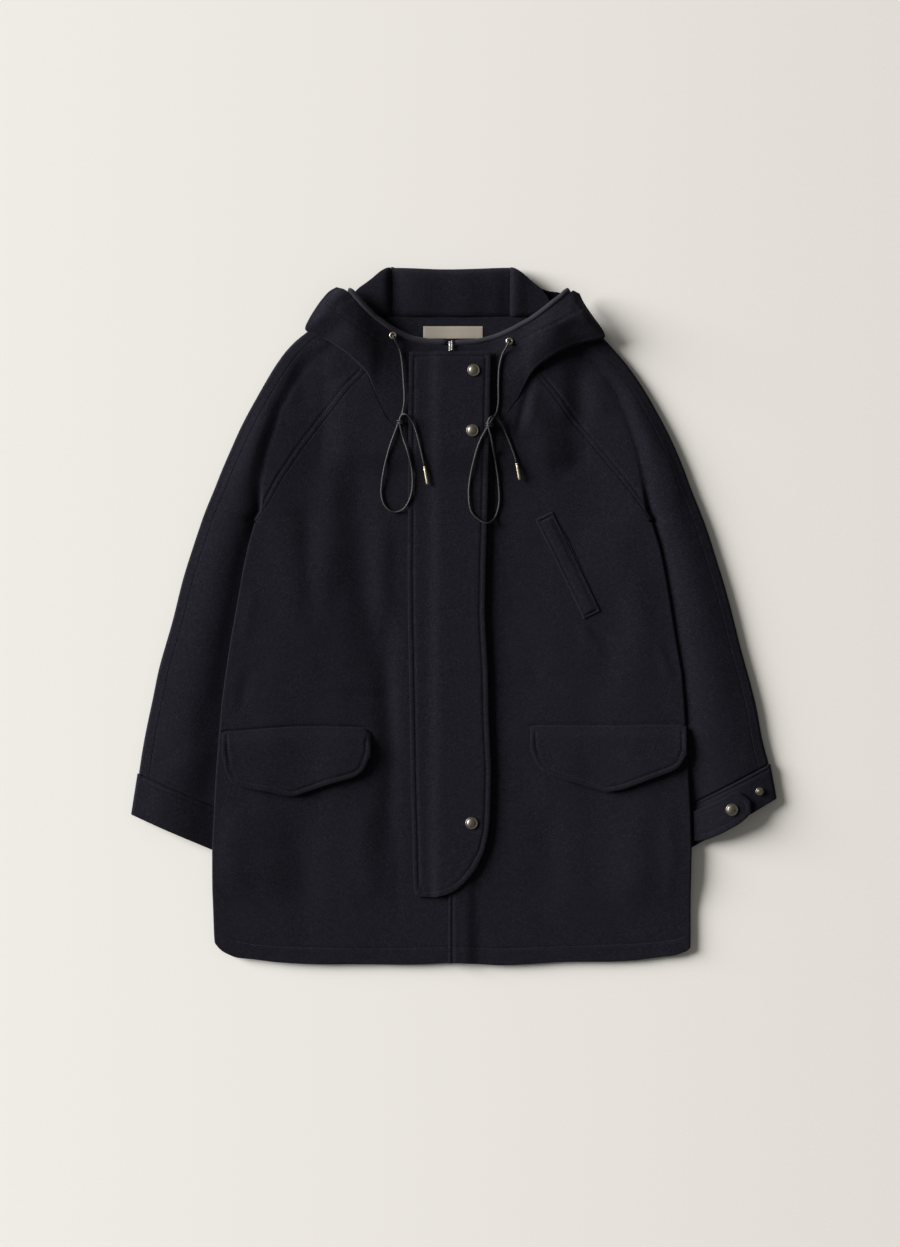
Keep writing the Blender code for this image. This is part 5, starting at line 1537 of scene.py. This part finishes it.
def length_property(name, description, default):
    """A length that a user may change."""
    return FloatProperty(name=name, description=description, default=default, min=0.0, unit="LENGTH",
                         subtype="DISTANCE", precision=5)


def colour_property(name, description, default):
    """A colour that a user may change."""
    return FloatVectorProperty(name=name, description=description, default=default, size=3, min=0.0,
                               max=1.0, subtype="COLOR")


class ParkaSizes(bpy.types.PropertyGroup):
    """Sizes of the sewing and of the view."""

    stitch_length: length_property("Stitch length", "Length of one run of thread on the face", 0.0027)
    stitch_gap: length_property("Stitch gap", "Gap between two runs of thread", 0.0009)
    thread: length_property("Thread", "Thickness of the sewing thread", 0.0006)
    stitch_depth: length_property("Stitch depth", "How far a sewn line sinks into the wool", 0.0008)
    camera_height: length_property("Camera height", "Height of the camera above the floor", 3.6)
    frame_height: length_property("Frame height", "Length of floor that the view takes in", 1.559)


class ParkaColours(bpy.types.PropertyGroup):
    """Colours of the coat and its stage."""

    wool: colour_property("Wool", "The wool's ground colour", (0.0062, 0.0058, 0.0091))
    fleck: colour_property("Fleck", "The paler fibres in the wool", (0.032, 0.031, 0.041))
    binding: colour_property("Binding", "The tape along the hood's opening", (0.0150, 0.0143, 0.0200))
    cord: colour_property("Cord", "The drawcord", (0.010, 0.011, 0.011))
    snap: colour_property("Snap", "The snap caps", (0.30, 0.27, 0.22))
    brass: colour_property("Brass", "Eyelets, cord tips and the zip", (0.66, 0.57, 0.40))
    label: colour_property("Label", "The neck label", (0.36, 0.32, 0.26))
    # the floor's two colours paint the window light's falloff across it: painted light near the window,
    # painted shade away from it
    floor: colour_property("Floor", "The studio floor, painted lighter near the window", (0.872, 0.848, 0.806))
    floor_painted_shade: colour_property("Painted floor shade", "Painted shade on the studio floor away from the window", (0.735, 0.700, 0.655))


def declare(piece, cut, *nodes, rests_on=(), slot="wool"):
    """Finish a cloth piece; what it was cut to is given but not used."""
    dress(piece, slot, *nodes)


class UndoStep:
    """What all the operators share."""

    bl_options = {"REGISTER", "UNDO"}


class PARKA_OT_back(UndoStep, bpy.types.Operator):
    """Make the back panel"""

    bl_idname = "parka.back"
    bl_label = "Back"

    def execute(self, context):
        declare(back_panel(), "back", "back_panel")
        return {"FINISHED"}


class PARKA_OT_fronts(UndoStep, bpy.types.Operator):
    """Make the two fronts"""

    bl_idname = "parka.fronts"
    bl_label = "Fronts"

    def execute(self, context):
        for side, name in SIDES:
            declare(front_panel(side), "front", f"front_{name}", rests_on=["back_cloth"])
        return {"FINISHED"}


class PARKA_OT_sleeves(UndoStep, bpy.types.Operator):
    """Make the fronts and backs of both sleeves"""

    bl_idname = "parka.sleeves"
    bl_label = "Sleeves"

    def execute(self, context):
        for side, name in SIDES:
            declare(sleeve_back(side), "sleeve_back", f"sleeve_back_{name}")
            declare(sleeve_front(side), "sleeve_front", f"sleeve_front_{name}",
                    rests_on=[f"sleeve_back_{name}_cloth"])
        return {"FINISHED"}


class PARKA_OT_cuffs(UndoStep, bpy.types.Operator):
    """Make the cuff bands"""

    bl_idname = "parka.cuffs"
    bl_label = "Cuffs"

    def execute(self, context):
        for side, name in SIDES:
            declare(cuff(side), "cuff", f"cuff_{name}")
        return {"FINISHED"}


class PARKA_OT_hood(UndoStep, bpy.types.Operator):
    """Make the hood's sides and its folded back"""

    bl_idname = "parka.hood"
    bl_label = "Hood"

    def execute(self, context):
        left_seam, right_seam = HOOD_SEAMS
        gap = SEAM / 2
        for cut, name, first, last in (
            ("hood_centre", "hood_centre", lambda row: -left_seam + gap, lambda row: right_seam - gap),
            ("hood_rear", "hood_rear_left", lambda row: -row[2], lambda row: -left_seam - gap),
            ("hood_rear", "hood_rear_right", lambda row: right_seam + gap, lambda row: row[3]),
        ):
            declare(hood_back(f"{name}_cloth", first, last), cut, name)
        for side, name in SIDES:
            declare(hood_side(side), "hood_side", f"hood_side_{name}", rests_on=[f"front_{name}_cloth"])
        return {"FINISHED"}


class PARKA_OT_binding(UndoStep, bpy.types.Operator):
    """Make the binding along the hood's opening"""

    bl_idname = "parka.binding"
    bl_label = "Binding"

    def execute(self, context):
        for side, name in SIDES:
            dress(binding(side), "binding", f"binding_{name}")
        return {"FINISHED"}


class PARKA_OT_placket(UndoStep, bpy.types.Operator):
    """Make the wind placket"""

    bl_idname = "parka.placket"
    bl_label = "Placket"

    def execute(self, context):
        declare(placket(), "placket", "placket", rests_on=["front_right_cloth"])
        return {"FINISHED"}


class PARKA_OT_pockets(UndoStep, bpy.types.Operator):
    """Make the pocket flaps and the chest welt"""

    bl_idname = "parka.pockets"
    bl_label = "Pockets"

    def execute(self, context):
        for side, name in SIDES:
            declare(pocket_flap(side), "flap", f"flap_{name}", rests_on=[f"front_{name}_cloth"])
        declare(chest_welt(), "welt", "chest_welt", rests_on=["front_right_cloth"])
        return {"FINISHED"}


class PARKA_OT_tab(UndoStep, bpy.types.Operator):
    """Make the cuff's adjusting tab"""

    bl_idname = "parka.tab"
    bl_label = "Cuff tab"

    def execute(self, context):
        declare(cuff_tab(), "tab", "cuff_tab", rests_on=["cuff_right_cloth"])
        return {"FINISHED"}


class PARKA_OT_label(UndoStep, bpy.types.Operator):
    """Make the bare neck label"""

    bl_idname = "parka.label"
    bl_label = "Neck label"

    def execute(self, context):
        declare(neck_label(), "label", "neck_label", rests_on=["back_cloth"], slot="label")
        return {"FINISHED"}


class PARKA_OT_fastenings(UndoStep, bpy.types.Operator):
    """Make the snaps, the cuff's stud, the eyelets and the top of the zip"""

    bl_idname = "parka.fastenings"
    bl_label = "Fastenings"

    def execute(self, context):
        for name, (x, y) in SNAPS.items():
            cap = snap_cap(f"{name}_metal", x, y, float(on_front(x, y)) + 2 * LAY + PLACKET_THICK)
            dress(cap, "snap_metal", name)
        for name, (x, y), reach, rise, diameter in (
            ("snap_tab", TAB_SNAP, 7, 3 * LAY + TAB_THICK, SNAP),
            ("cuff_stud", CUFF_STUD, 5, LAY, STUD),
        ):
            height = highest(x, y, reach, right_cuff_height) + rise
            dress(snap_cap(f"{name}_metal", x, y, height, diameter), "snap_metal", name)
        for side, name in SIDES:
            x, y = EYELETS[side]
            height = highest(x, y, 4, hood_face) + LAY
            dress(turned(f"eyelet_{name}_metal", EYELET_PROFILE, (x, y, height)), "brass", f"eyelet_{name}")
        dress(zip_teeth(), "brass", "zip_end", finish="zip")
        return {"FINISHED"}


class PARKA_OT_cords(UndoStep, bpy.types.Operator):
    """Make the drawcord's two ends with their knots and metal tips"""

    bl_idname = "parka.cords"
    bl_label = "Drawcord"

    def execute(self, context):
        for side, name in SIDES:
            cord, start, length = drawcord(side)
            dress(cord, "cord", f"drawcord_{name}")
            tie = dress(knot(side), "cord")
            tip = dress(cord_tip(side), "brass", f"cord_tip_{name}")
        return {"FINISHED"}


class PARKA_OT_stitching(UndoStep, bpy.types.Operator):
    """Sew the topstitching of every piece"""

    bl_idname = "parka.stitching"
    bl_label = "Stitching"

    def execute(self, context):
        sewn_pieces = {name: [(f"{kind}_{name}_cloth", lines[side]) for kind, lines in STITCHES_BY_SIDE]
                       for side, name in SIDES}
        sewn_pieces["middle"] = [("placket_cloth", PLACKET_STITCHES), ("cuff_tab_cloth", TAB_STITCHES)]
        for name, pieces_and_lines in sewn_pieces.items():
            dress(stitching(f"stitching_{name}", pieces_and_lines), "wool", finish="thread")
        return {"FINISHED"}


class PARKA_OT_stage(UndoStep, bpy.types.Operator):
    """Make the floor, the lights and the camera"""

    bl_idname = "parka.stage"
    bl_label = "Stage"

    def execute(self, context):
        scene = context.scene
        floor = floor_piece()
        floor.data.materials.append(finish_of("floor"))
        window = bpy.data.lights.new("window_light", "SUN")
        window.energy = WINDOW_ENERGY
        window.angle = math.radians(WINDOW_ANGLE)
        lamp = bpy.data.objects.new("window_light", window)
        lamp.rotation_euler = Vector(WINDOW_DIRECTION).to_track_quat("Z", "Y").to_euler()
        scene.collection.objects.link(lamp)
        scene.world = bpy.data.worlds.new("studio")
        scene.world.use_nodes = True
        background = scene.world.node_tree.nodes["Background"]
        background.inputs["Color"].default_value = ROOM_COLOUR
        background.inputs["Strength"].default_value = ROOM_STRENGTH
        view = bpy.data.cameras.new("camera")
        view.sensor_fit = "VERTICAL"
        view.sensor_height = SENSOR
        view.lens = SENSOR * scene.parka_sizes.camera_height / scene.parka_sizes.frame_height
        camera = bpy.data.objects.new("camera", view)
        camera.location = (*CAMERA_PLACE, scene.parka_sizes.camera_height)
        scene.collection.objects.link(camera)
        scene.camera = camera
        scene.view_settings.view_transform = "Standard"
        return {"FINISHED"}


def floor_piece():
    """A wide floor just under the coat."""
    corners = [(x * FLOOR_REACH, y * FLOOR_REACH, FLOOR_DEPTH)
               for x, y in ((-1, -1), (1, -1), (1, 1), (-1, 1))]
    mesh = bpy.data.meshes.new("floor")
    mesh.from_pydata([tuple(value * MM for value in corner) for corner in corners], [], [(0, 1, 2, 3)])
    made = bpy.data.objects.new("floor", mesh)
    bpy.context.scene.collection.objects.link(made)
    return made


OPERATORS = (PARKA_OT_stage, PARKA_OT_cords, PARKA_OT_back, PARKA_OT_fronts, PARKA_OT_sleeves, PARKA_OT_cuffs,
             PARKA_OT_hood, PARKA_OT_binding, PARKA_OT_placket, PARKA_OT_pockets, PARKA_OT_tab,
             PARKA_OT_label, PARKA_OT_fastenings, PARKA_OT_stitching)


class PARKA_PT_panel(bpy.types.Panel):
    """Lists the coat's pieces, sizes and colours"""

    bl_label = "Parka"
    bl_idname = "PARKA_PT_panel"
    bl_space_type = "VIEW_3D"
    bl_region_type = "UI"
    bl_category = "Parka"

    def draw(self, context):
        column = self.layout.column(align=True)
        for operator in OPERATORS:
            column.operator(operator.bl_idname)
        for group in (context.scene.parka_sizes, context.scene.parka_colours):
            box = self.layout.box()
            for name in group.bl_rna.properties.keys():
                if name not in {"rna_type", "name"}:
                    box.prop(group, name)


CLASSES = (ParkaSizes, ParkaColours, *OPERATORS, PARKA_PT_panel)


def register():
    """Register the classes and the scene's settings."""
    for item in CLASSES:
        bpy.utils.register_class(item)
    bpy.types.Scene.parka_sizes = PointerProperty(type=ParkaSizes)
    bpy.types.Scene.parka_colours = PointerProperty(type=ParkaColours)


def unregister():
    """Take the classes and the scene's settings away again."""
    del bpy.types.Scene.parka_colours
    del bpy.types.Scene.parka_sizes
    for item in reversed(CLASSES):
        bpy.utils.unregister_class(item)


def main():
    """Make every piece."""
    register()
    for operator in OPERATORS:
        group, name = operator.bl_idname.split(".")
        getattr(getattr(bpy.ops, group), name)()


if __name__ == "__main__":
    main()
